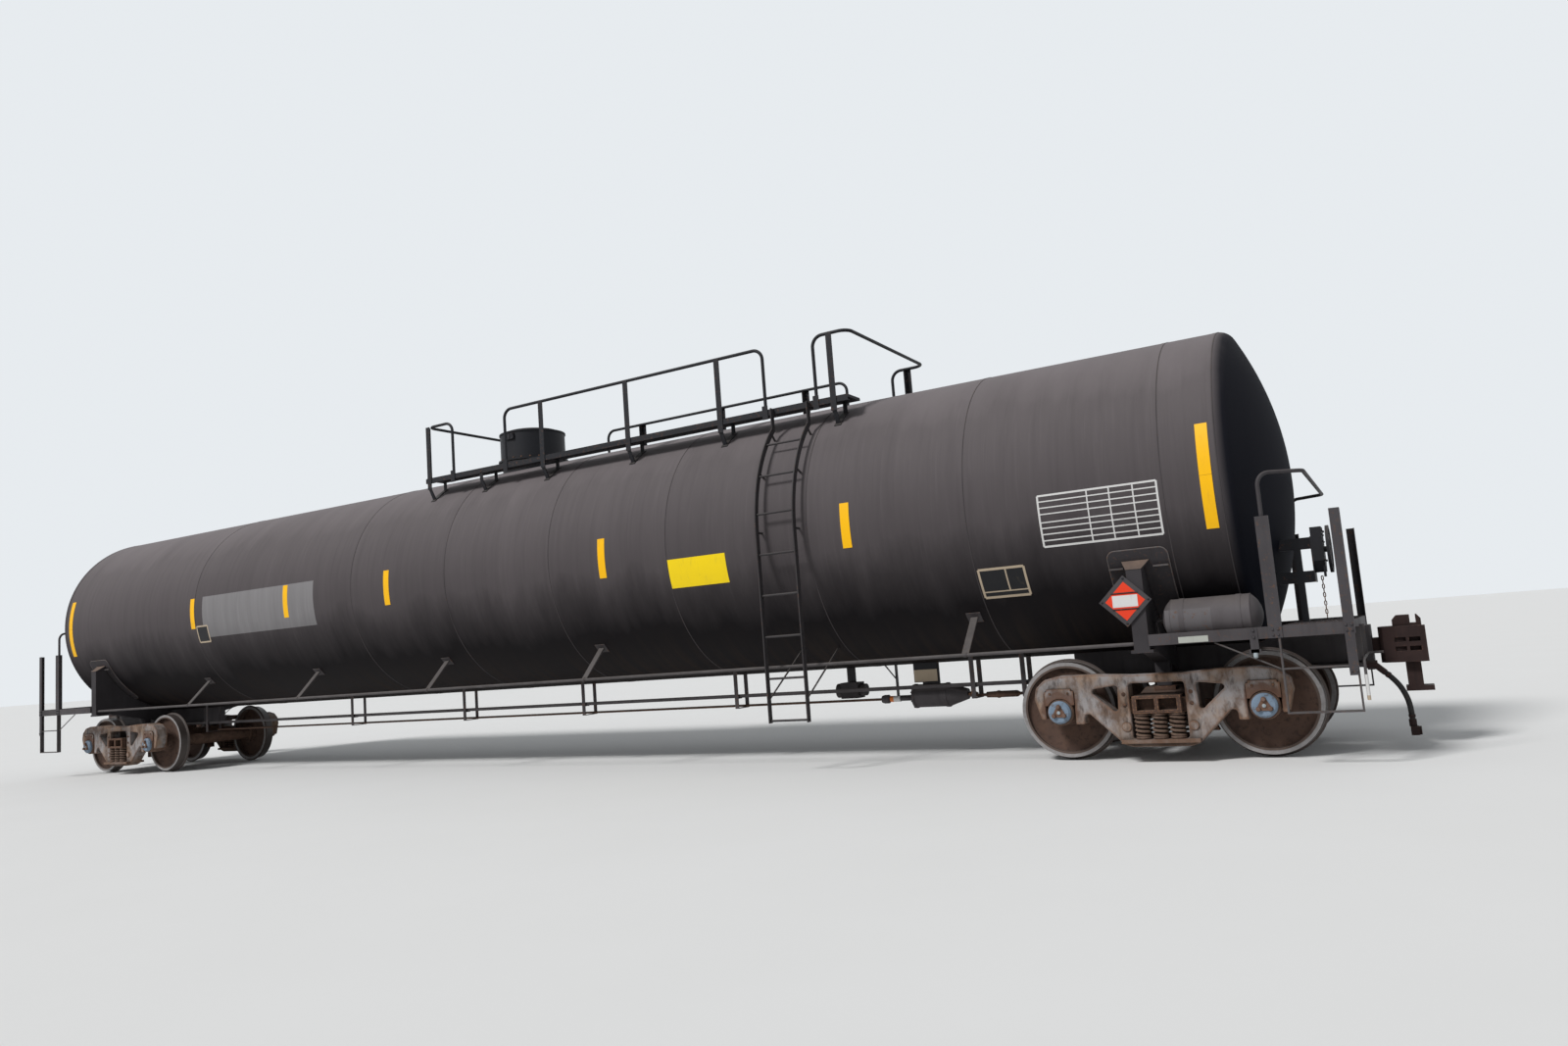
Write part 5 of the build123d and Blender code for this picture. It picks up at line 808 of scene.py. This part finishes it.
# Bolts through the locking plates of the bearing caps, and the plug in their middle
LOCKING_PLATE_FACE = 1.1525
CAP_BOLT_CIRCLE = 0.055
for number in range(1, 5):
    centre = middle(f"axle_{number}")
    cap_bolts = Piece(f"cap_bolts_{number}")
    plugs = Piece(f"cap_plugs_{number}")
    for side in SIDES:
        for angle in circle(3, 0.75):
            along = CAP_BOLT_CIRCLE * cos(angle)
            rise = CAP_BOLT_CIRCLE * sin(angle)
            place = (centre.x + along, side * LOCKING_PLATE_FACE, centre.z + rise)
            cap_bolts.bolt(place, (0, side, 0), 0.036)
        place = (centre.x, side * LOCKING_PLATE_FACE, centre.z)
        plugs.turned([(0, 0.017), (0.008, 0.016), (0.01, 0.012), (0.01, 0)], place, (0, side, 0), 16)
    cap_bolts.done(f"wheelset_{number}", PALE_RUST, "wheel_steel")
    plugs.done(f"wheelset_{number}", LIGHT_BOLT, "wheel_steel")

# Truck details: rivets on the side frames' columns and bolts on the bearing adapters
FRAME_FACE = 1.0885
RIVET_REACH = 0.293
ADAPTER_FACE = 1.1015
ADAPTER_BOLT_Z = 0.655
rivet = ((0, 0.019), (0.006, 0.017), (0.011, 0.009), (0.012, 0))
for end in "ba":
    truck_x = middle(f"side_frames_{end}").x
    fittings = Piece(f"truck_fittings_{end}")
    for side in SIDES:
        for lead in SIDES:
            x = truck_x + lead * RIVET_REACH
            for height in (0.5, 0.6):
                place = (x, side * FRAME_FACE, RAIL + height)
                fittings.turned(rivet, place, (0, side, 0), 16)
            for tie in (-0.085, 0.085):
                x = truck_x + lead * AXLE_REACH + tie
                fittings.bolt((x, side * ADAPTER_FACE, ADAPTER_BOLT_Z), (0, side, 0), 0.02)
    fittings.done(f"truck_{end}", RUST, "rusty_casting")


# Gratings
BAR_PITCH = 0.033
ROD_PITCH = 0.1


def grating(name, start, end):
    """Bearing bars along the walkway with rods across them, between two opposite corners."""
    piece = Piece(name)
    (x0, x1), (y0, y1), (z0, z1) = (sorted(pair) for pair in zip(start, end))
    bars = int((y1 - y0) / BAR_PITCH)
    for count in range(bars + 1):
        y = y0 + (y1 - y0) * count / bars
        piece.bar((x0, y - 0.0025, z0), (x1, y + 0.0025, z1))
    rods = int((x1 - x0) / ROD_PITCH)
    for count in range(rods + 1):
        x = x0 + (x1 - x0) * count / rods
        piece.bar((x - 0.004, y0, z0), (x + 0.004, y1, (z0 + 2 * z1) / 3))
    return piece


# Walkways beside the crown: a shallow edge, brackets to the tank, feet for the rail
DECK_WALL = 0.008
deck_low, deck_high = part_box("top_platform")
DECK_START = deck_low.x
DECK_EDGE = deck_high.y
DECK_HALF = DECK_EDGE - DECK_WALL
DECK_TOP = TANK_Z + TANK_RADIUS - 0.093
DECK_LIP = 0.062
DECK_INNER = 0.77
DECK_END = 5.59
POST_FOOT = DECK_TOP - 0.15
BRACKETS = (-0.792, 0.17, 1.256, 2.626, 3.957, 5.421)
BRACKET_HALF = 0.025
OUTER_FOOT = 1.0
INNER_FOOT = 0.807
RAIL_FEET = (-0.348, 0.611, 4.56, 5.208)


def crown(y):
    return TANK_Z + sqrt(TANK_RADIUS**2 - y**2)


walkways = Piece("top_walkways")
lip_low = DECK_TOP - DECK_LIP
outer_leg = (
    (DECK_HALF, lip_low + 0.01),
    (DECK_HALF, POST_FOOT),
    (OUTER_FOOT + 0.006, crown(OUTER_FOOT + 0.006)),
    (OUTER_FOOT - 0.006, crown(OUTER_FOOT - 0.006)),
    (DECK_HALF - 0.01, POST_FOOT + 0.003),
    (DECK_HALF - 0.01, lip_low + 0.01),
)
inner_leg = (
    (INNER_FOOT + 0.005, DECK_TOP - 0.02),
    (INNER_FOOT + 0.005, crown(INNER_FOOT + 0.005)),
    (INNER_FOOT - 0.005, crown(INNER_FOOT - 0.005)),
    (INNER_FOOT - 0.005, DECK_TOP - 0.02),
)
for side in SIDES:
    for start, end, low, high in (
        (DECK_HALF, DECK_HALF - DECK_WALL, lip_low, DECK_TOP),
        (DECK_HALF - 0.004, DECK_HALF - 0.04, lip_low, lip_low + DECK_WALL),
        (DECK_HALF - 0.004, DECK_INNER, DECK_TOP - 0.026, DECK_TOP - 0.001),
    ):
        walkways.bar((DECK_START, side * start, low), (DECK_END, side * end, high))
    for x in BRACKETS:
        for leg in (outer_leg, inner_leg):
            walkways.prism([(x - BRACKET_HALF, side * y, z) for y, z in leg], (2 * BRACKET_HALF, 0, 0))
        walkways.patch((x - 0.04, x + 0.04), (crown(1.03), crown(0.78)), side, DECK_WALL)
    for x in RAIL_FEET:
        foot = (x - 0.035, side * (DECK_HALF - 0.002), DECK_TOP - 0.105)
        walkways.bar(foot, (x + 0.035, side * DECK_EDGE, DECK_TOP + 0.05))
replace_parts(walkways.done("car", BLACK), "top_platform")
for side, name in ((-1, "near"), (1, "far")):
    start = (DECK_START + 0.005, side * (DECK_INNER + 0.005), DECK_TOP)
    end = (DECK_END - 0.005, side * (DECK_HALF - 0.011), DECK_TOP + 0.008)
    grating(f"deck_grating_{name}", start, end).done("car", BLACK)

# Gratings on the end platforms
platform_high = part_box("end_platforms")[1]
PLATFORM_START = 9.572
PLATFORM_HALF = 1.486
for name, way in ENDS:
    start = (way * PLATFORM_START, -PLATFORM_HALF, platform_high.z)
    end = (way * (platform_high.x - 0.012), PLATFORM_HALF, platform_high.z + 0.006)
    grating(f"platform_grating_{name}", start, end).done("car", FRAME, "underframe")

# Valve housing: bolts round its flange, a handle on the lid and a hasp below it
housing_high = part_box("housing_lid")[1]
HOUSING_X = 0.105
HOUSING_RADIUS = 0.445
FLANGE_TOP = TANK_Z + TANK_RADIUS + 0.122
FLANGE_BOLTS = 24
flange_bolts = Piece("housing_flange_bolts")
for angle in circle(FLANGE_BOLTS, 0.5):
    x = HOUSING_X + (HOUSING_RADIUS + 0.017) * cos(angle)
    y = (HOUSING_RADIUS + 0.017) * sin(angle)
    flange_bolts.bolt((x, y, FLANGE_TOP), (0, 0, 1), 0.024)
flange_bolts.done("car", RUST)
handle = Piece("lid_handle")
lid_y = -HOUSING_RADIUS * 0.62
handle_foot = housing_high.z - 0.024
bends = ((-0.07, -0.02), (-0.07, 0.02), (-0.06, 0.03), (0.06, 0.03), (0.07, 0.02), (0.07, -0.02))
handle.tube([(HOUSING_X + along, lid_y, handle_foot + rise) for along, rise in bends], 0.006)
handle.done("housing_lid", RAILING, "tank_jacket")
HASP_Z = 4.437
hasp = Piece("housing_hasp")
hasp_y = -HOUSING_RADIUS - 0.02
for rise in (-0.03, 0.03):
    for spread in (-0.052, 0.052):
        hasp.bolt((HOUSING_X + spread, hasp_y, HASP_Z + rise), (0, -1, 0), 0.016)
hasp.tube([(HOUSING_X, hasp_y - 0.003, HASP_Z + rise) for rise in (-0.037, 0.033)], 0.009)
hasp.done("car", RAILING)

# Pads under the handrail brackets, and clamps that hold the side handrails on them
PAD_X = (-5.855, -3.222, -0.589, 2.044, 6.775)
PAD_REACH = 1.076
pad_z = TANK_Z - sqrt(TANK_RADIUS**2 - PAD_REACH**2)
rail_low, rail_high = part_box("side_handrails")
HANDRAIL_RADIUS = 0.017
rail_y = rail_high.y - HANDRAIL_RADIUS
rail_z = rail_low.z + HANDRAIL_RADIUS
pads = Piece("bracket_pads")
rail_clamps = Piece("handrail_clamps")
for side in SIDES:
    for x in PAD_X:
        pads.patch((x - 0.075, x + 0.075), (pad_z - 0.045, pad_z + 0.045), side, 0.008, steps=4)
        place = (x, side * rail_y, rail_z)
        rail_clamps.band(place, (1, 0, 0), 0.018, HANDRAIL_RADIUS, 0.0225, 20)
pads.done("car", FRAME, "underframe")
rail_clamps.done("car", BAR)

# Air reservoir: straps and weld beads round it, a drain cock and a blank patch of paint
drum_low, drum_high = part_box("air_reservoir")
drum_middle = middle("air_reservoir")
drum_radius = (drum_high.y - drum_low.y) / 2
drum_z = drum_high.z - drum_radius
drum_y = drum_middle.y
trim = Piece("reservoir_straps")
for x in (drum_low.x + 0.18, drum_high.x - 0.18):
    place = (x, drum_y, drum_z)
    trim.band(place, (1, 0, 0), 0.022, drum_radius - 0.002, drum_radius + 0.004, 48)
bead = ((-0.006, -0.001), (0, 0.0035), (0.006, -0.001))
bead = [(along, drum_radius + rise) for along, rise in bead]
for x in (drum_low.x + 0.088, drum_high.x - 0.088):
    trim.turned(bead, (x, drum_y, drum_z), (1, 0, 0), 48)
cock = Vector((drum_middle.x, drum_y, drum_z - drum_radius + 0.002))
body = [(0, 0.019), (0.02, 0.019), (0.02, 0.011), (0.052, 0.011), (0.052, 0)]
trim.turned(body, cock, (0, 0, -1), 12)
trim.tube([cock + Vector((along, 0, -0.036)) for along in (-0.035, 0.035)], 0.004, 6)
trim.done("car", RESERVOIR, "underframe")
PATCH_X = (8.64, 9.02)
patch = Piece("reservoir_repaint")
patch_heights = (drum_z - 0.115, drum_z + 0.085)
patch.patch(PATCH_X, patch_heights, -1, 0.0015, (drum_y, drum_z), drum_radius)
patch.done("car", RESERVOIR_PATCH, "underframe")

# The pipe out of the reservoir's end
bends = [(0.012, 0, 0), (-0.045, 0, 0)]
bends += [(-0.06, 0.02, 0.02), (-0.06, 0.06, 0.12), (-0.06, 0.1, 0.21)]
pipes = Piece("air_pipes")
pipes.tube([(drum_low.x + along, drum_y + out, drum_z - down) for along, out, down in bends], 0.011)
pipes.done("car", FRAME)

# Hand brake: ribs on its case, and the chain that goes down through the platform
case_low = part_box("handbrake_gear")[0]
BRAKE_Y = -0.6
BRAKE_FACE = 9.901
case_top = middle("handbrake_gear").z + 0.199
casing = Piece("handbrake_ribs")
for count in range(3):
    low = case_top - 0.06 - 0.06 * count
    start = (BRAKE_FACE - 0.002, BRAKE_Y - 0.105, low)
    casing.bar(start, (BRAKE_FACE + 0.007, BRAKE_Y + 0.105, low + 0.012))
for across in (-0.108, 0.108):
    for rise in (0.02, 0.28):
        casing.bolt((BRAKE_FACE, BRAKE_Y + across, case_top - rise), (1, 0, 0), 0.018)
casing.done("car", BLACK)
LINK_LENGTH = 0.046
LINK_WIDTH = 0.016
LINK_WIRE = 0.0045
chain = Piece("handbrake_chain")
chain_top = case_low.z + 0.012
chain_x = BRAKE_FACE - 0.045
links = int((chain_top - platform_high.z) / (LINK_LENGTH - 2 * LINK_WIRE))
for count in range(links):
    centre = Vector((chain_x, BRAKE_Y, chain_top - 0.02 - count * (LINK_LENGTH - 2 * LINK_WIRE)))
    across = Vector((0, 1, 0)) if count % 2 else Vector((1, 0, 0))
    loop = []
    for angle in circle(16):
        stretch = (LINK_LENGTH / 2 - LINK_WIRE - LINK_WIDTH / 2) * (1 if sin(angle) > 0 else -1)
        rise = sin(angle) * LINK_WIDTH / 2 + stretch
        loop.append(centre + across * cos(angle) * LINK_WIDTH / 2 + Vector((0, 0, rise)))
    chain.tube(loop, LINK_WIRE, 6, closed=True)
chain.done("car", RUST)

# Bolts at the feet of the end posts and corner posts
POST_X = 9.51
CORNER_X = 10.05
POST_FACE = 1.5083
post_bolts = Piece("post_bolts")
for way in SIDES:
    for side in SIDES:
        for x, heights in ((POST_X, (1.085, 1.13)), (CORNER_X, (0.76, 1.085, 1.13))):
            for height in heights:
                for spread in (-0.02, 0.02):
                    place = (way * (x + spread), side * POST_FACE, height)
                    post_bolts.bolt(place, (0, side, 0), 0.018)
post_bolts.done("car", RAILING)

# White lever handle with a buff end
LEVER_X = 10.125
LEVER_Y = 1.456
lever_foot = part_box("uncoupling_levers")[0].z
cap = [(-0.002, 0), (-0.002, 0.0135), (0.035, 0.0135), (0.035, 0.011)]
sleeve = [(0.035, 0.011), (0.035, 0.0135), (0.2, 0.0135), (0.2, 0.011)]
for name, way in ENDS:
    foot = (way * LEVER_X, -way * LEVER_Y, lever_foot)
    for part, profile, material in (("grip", sleeve, SIGN_WHITE), ("tip", cap, SIGN_BUFF)):
        piece = Piece(f"lever_{part}_{name}")
        piece.turned(profile, foot, (0, 0, 1), 16)
        piece.done("car", material, None)

# Brake cylinder: its bracket with a blank buff plate, and a marked collar on the rod
CYLINDER_X = 5.693
CYLINDER_Y = -0.2
CYLINDER_Z = 0.643
PLATE_Y = -0.211
PLATE_LOW = 0.79
PLATE_HIGH = 1.0
ROD_Y = -0.24
ROD_Z = 0.625
ROD_RADIUS = 0.014
PLATE_START = CYLINDER_X + 0.01
PLATE_END = CYLINDER_X + 0.29
bracket = Piece("cylinder_bracket")
bracket_low = (PLATE_START, PLATE_Y - 0.016, PLATE_LOW)
bracket.bar(bracket_low, (PLATE_END, PLATE_Y + 0.002, PLATE_HIGH))
bracket.done("car", BLACK)
tag = Piece("cylinder_tag")
tag_low = (PLATE_START + 0.004, PLATE_Y - 0.02, PLATE_LOW + 0.006)
tag.bar(tag_low, (PLATE_END - 0.004, PLATE_Y - 0.014, PLATE_LOW + 0.135))
tag.done("car", SIGN_BUFF, None)
cap = [(0, ROD_RADIUS), (0, 0.04), (0.03, 0.048), (0.08, 0.048)]
cap += [(0.095, 0.03), (0.095, ROD_RADIUS)]
fitting = Piece("rod_fitting")
fitting.turned(cap, (CYLINDER_X - 0.383, ROD_Y, ROD_Z), (1, 0, 0), 20)
sleeve = [(0, ROD_RADIUS), (0, 0.027), (0.163, 0.027), (0.163, ROD_RADIUS)]
fitting.turned(sleeve, (CYLINDER_X - 0.163, ROD_Y, ROD_Z), (1, 0, 0), 20)
fitting.done("car", FRAME)
for name, start, length, material in (
    ("rod_collar_orange", CYLINDER_X - 0.283, 0.041, ORANGE),
    ("rod_collar_white", CYLINDER_X - 0.242, 0.079, SIGN_WHITE),
):
    collar = Piece(name)
    profile = [(0, ROD_RADIUS), (0, 0.033), (length, 0.033), (length, ROD_RADIUS)]
    collar.turned(profile, (start, ROD_Y, ROD_Z), (1, 0, 0), 20)
    collar.done("car", material, None)
for name, x in (("front", CYLINDER_X + 0.012), ("rear", CYLINDER_X + 0.387)):
    flange = Piece(f"cylinder_flange_{name}")
    flange.band((x, CYLINDER_Y, CYLINDER_Z), (1, 0, 0), 0.012, 0.124, 0.132, 40)
    for angle in circle(8, 0.5):
        place = (x - 0.012, CYLINDER_Y + 0.128 * cos(angle), CYLINDER_Z + 0.128 * sin(angle))
        flange.bolt(place, (-1, 0, 0), 0.014)
    flange.done("car", FRAME)

# Linkage from the cylinder's push rod, over the hangers, towards truck b
PUSH_X = 6.3
LINK_END = 7.05
LINK_Y = -0.26
LINK_RADIUS = 0.016
HANGER_FLOOR = 0.6107
link_z = HANGER_FLOOR + LINK_RADIUS
linkage = Piece("brake_linkage")
linkage.tube([(PUSH_X, CYLINDER_Y, CYLINDER_Z), (PUSH_X + 0.1, CYLINDER_Y, CYLINDER_Z)], 0.018, 12)
start = (PUSH_X + 0.05, LINK_Y - 0.05, link_z + 0.004)
linkage.bar(start, (PUSH_X + 0.092, CYLINDER_Y + 0.07, link_z + 0.024))
for y in (CYLINDER_Y, LINK_Y):
    linkage.bolt((PUSH_X + 0.071, y, link_z + 0.024), (0, 0, 1), 0.034)
linkage.tube([(PUSH_X + 0.05, LINK_Y, link_z), (LINK_END, LINK_Y, link_z)], LINK_RADIUS, 12)
slack = [(0, LINK_RADIUS), (0.01, 0.03), (0.12, 0.034), (0.13, 0.04), (0.15, 0.04), (0.16, 0.034)]
slack += [(0.34, 0.034), (0.36, 0.024), (0.37, LINK_RADIUS)]
linkage.turned(slack, (PUSH_X + 0.225, LINK_Y, link_z), (1, 0, 0), 20)
for y in (LINK_Y - 0.024, LINK_Y + 0.016):
    start = (LINK_END - 0.03, y, link_z - 0.016)
    linkage.bar(start, (LINK_END + 0.06, y + 0.008, link_z + 0.026))
linkage.bolt((LINK_END + 0.04, LINK_Y - 0.024, link_z + 0.005), (0, -1, 0), 0.03)
linkage.done("car", RUST)

# Weld round each saddle pad, and the two short shelves at its edges
PAD_MIDDLE = TRUCK_X + 0.026
PAD_LENGTH = 0.528
PAD_TOP = TANK_Z - 0.583
PAD_BOTTOM = TANK_Z - 1.25
PAD_CORNER = 0.07
SHELF_Z = 1.755
half = PAD_LENGTH / 2 - PAD_CORNER
top = PAD_TOP - PAD_CORNER
bottom = PAD_BOTTOM + PAD_CORNER
outline = []
for corner, (x, z) in enumerate(((half, top), (-half, top), (-half, bottom), (half, bottom))):
    for step in range(7):
        angle = pi / 2 * (corner + step / 6)
        outline.append((x + PAD_CORNER * cos(angle), z + PAD_CORNER * sin(angle)))
welds = Piece("saddle_welds")
shelves = Piece("saddle_shelves")
for way in SIDES:
    for side in SIDES:
        path = []
        for (x, z), (next_x, next_z) in zip(outline, outline[1:] + outline[:1]):
            pieces = max(1, int(abs(next_z - z) / 0.05))
            for part in range(pieces):
                level_z = z + (next_z - z) * part / pieces
                level_x = x + (next_x - x) * part / pieces
                y = sqrt((TANK_RADIUS + 0.006) ** 2 - (level_z - TANK_Z) ** 2)
                path.append((way * (PAD_MIDDLE + level_x), side * y, level_z))
        welds.tube(path, 0.0065, 6, closed=True)
        shelf_y = sqrt(TANK_RADIUS**2 - (SHELF_Z - TANK_Z) ** 2)
        for start, end in ((-0.262, -0.135), (0.125, 0.258)):
            near = (way * (PAD_MIDDLE + start), side * (shelf_y - 0.01), SHELF_Z - 0.008)
            far = (way * (PAD_MIDDLE + end), side * (shelf_y + 0.055), SHELF_Z + 0.008)
            shelves.bar(near, far)
welds.done("car", WELD, "underframe")
shelves.done("car", BAR, "underframe")

# Bolts at the ladders' upper ends
LADDER_X = 4.89
LADDER_HALF = 0.2385
LADDER_BOLT_Y = 1.1
ladder_bolts = Piece("ladder_bolts")
for side in SIDES:
    for edge in SIDES:
        x = LADDER_X + edge * LADDER_HALF
        for height in (3.86, 3.9):
            ladder_bolts.bolt((x, side * LADDER_BOLT_Y, height), (edge, 0, 0), 0.016)
ladder_bolts.done("car", LADDER)

# Knuckle pins' heads, on top of the couplers
COUPLER_TOP = RAIL + 1.035
KNUCKLE_PIN_X = 10.382
KNUCKLE_PIN_Y = 0.104
for name, way in ENDS:
    head = Piece(f"knuckle_pin_{name}")
    pin = (way * KNUCKLE_PIN_X, way * KNUCKLE_PIN_Y, COUPLER_TOP)
    head.turned([(0, 0.036), (0.014, 0.036), (0.02, 0.028), (0.022, 0)], pin, (0, 0, 1), 20)
    head.done(f"coupler_{name}", COUPLER, "rusty_casting")

# Floor and light
FLOOR_HALF = 900
floor_mesh = bpy.data.meshes.new("floor")
corners = ((-1, -1), (1, -1), (1, 1), (-1, 1))
corners = [(x * FLOOR_HALF, y * FLOOR_HALF, 0) for x, y in corners]
floor_mesh.from_pydata(corners, [], [(0, 1, 2, 3)])
floor = bpy.data.objects.new("floor", floor_mesh)
scene.collection.objects.link(floor)
pale = Surface("floor_paint", (0.8, 0.795, 0.785), 0.9)
pale.cloud(pale.noise(0.7, 5), 0.35, 0.7, 0.25, (0.76, 0.755, 0.74))
floor_mesh.materials.append(pale.done())

# The world lights evenly; the camera and reflections see a pale backdrop
BACKDROP = (0.8, 0.835, 0.865, 1)
SKY_LIGHT = 0.42
world = bpy.data.worlds.new("world")
scene.world = world
world.use_nodes = True
sky = world.node_tree
light_path = sky.nodes.new("ShaderNodeLightPath")
seen = light_path.outputs["Is Camera Ray"]
for kind in ("Is Glossy Ray", "Is Transmission Ray"):
    either = sky.nodes.new("ShaderNodeMath")
    either.operation = "MAXIMUM"
    sky.links.new(seen, either.inputs[0])
    sky.links.new(light_path.outputs[kind], either.inputs[1])
    seen = either.outputs[0]
strength = sky.nodes.new("ShaderNodeMapRange")
strength.inputs["To Min"].default_value = SKY_LIGHT
strength.inputs["To Max"].default_value = 1
sky.links.new(seen, strength.inputs["Value"])
background = sky.nodes["Background"]
background.inputs["Color"].default_value = BACKDROP
sky.links.new(strength.outputs[0], background.inputs["Strength"])

SUN_FROM = Vector((-0.4, -0.72, 0.8))
SUN_STRENGTH = 2.5
SUN_ANGLE = radians(14)
sun_data = bpy.data.lights.new("sun", "SUN")
sun_data.energy = SUN_STRENGTH
sun_data.angle = SUN_ANGLE
sun = bpy.data.objects.new("sun", sun_data)
sun.rotation_euler = (-SUN_FROM).to_track_quat("-Z", "Y").to_euler()
scene.collection.objects.link(sun)

scene.view_settings.view_transform = "Standard"
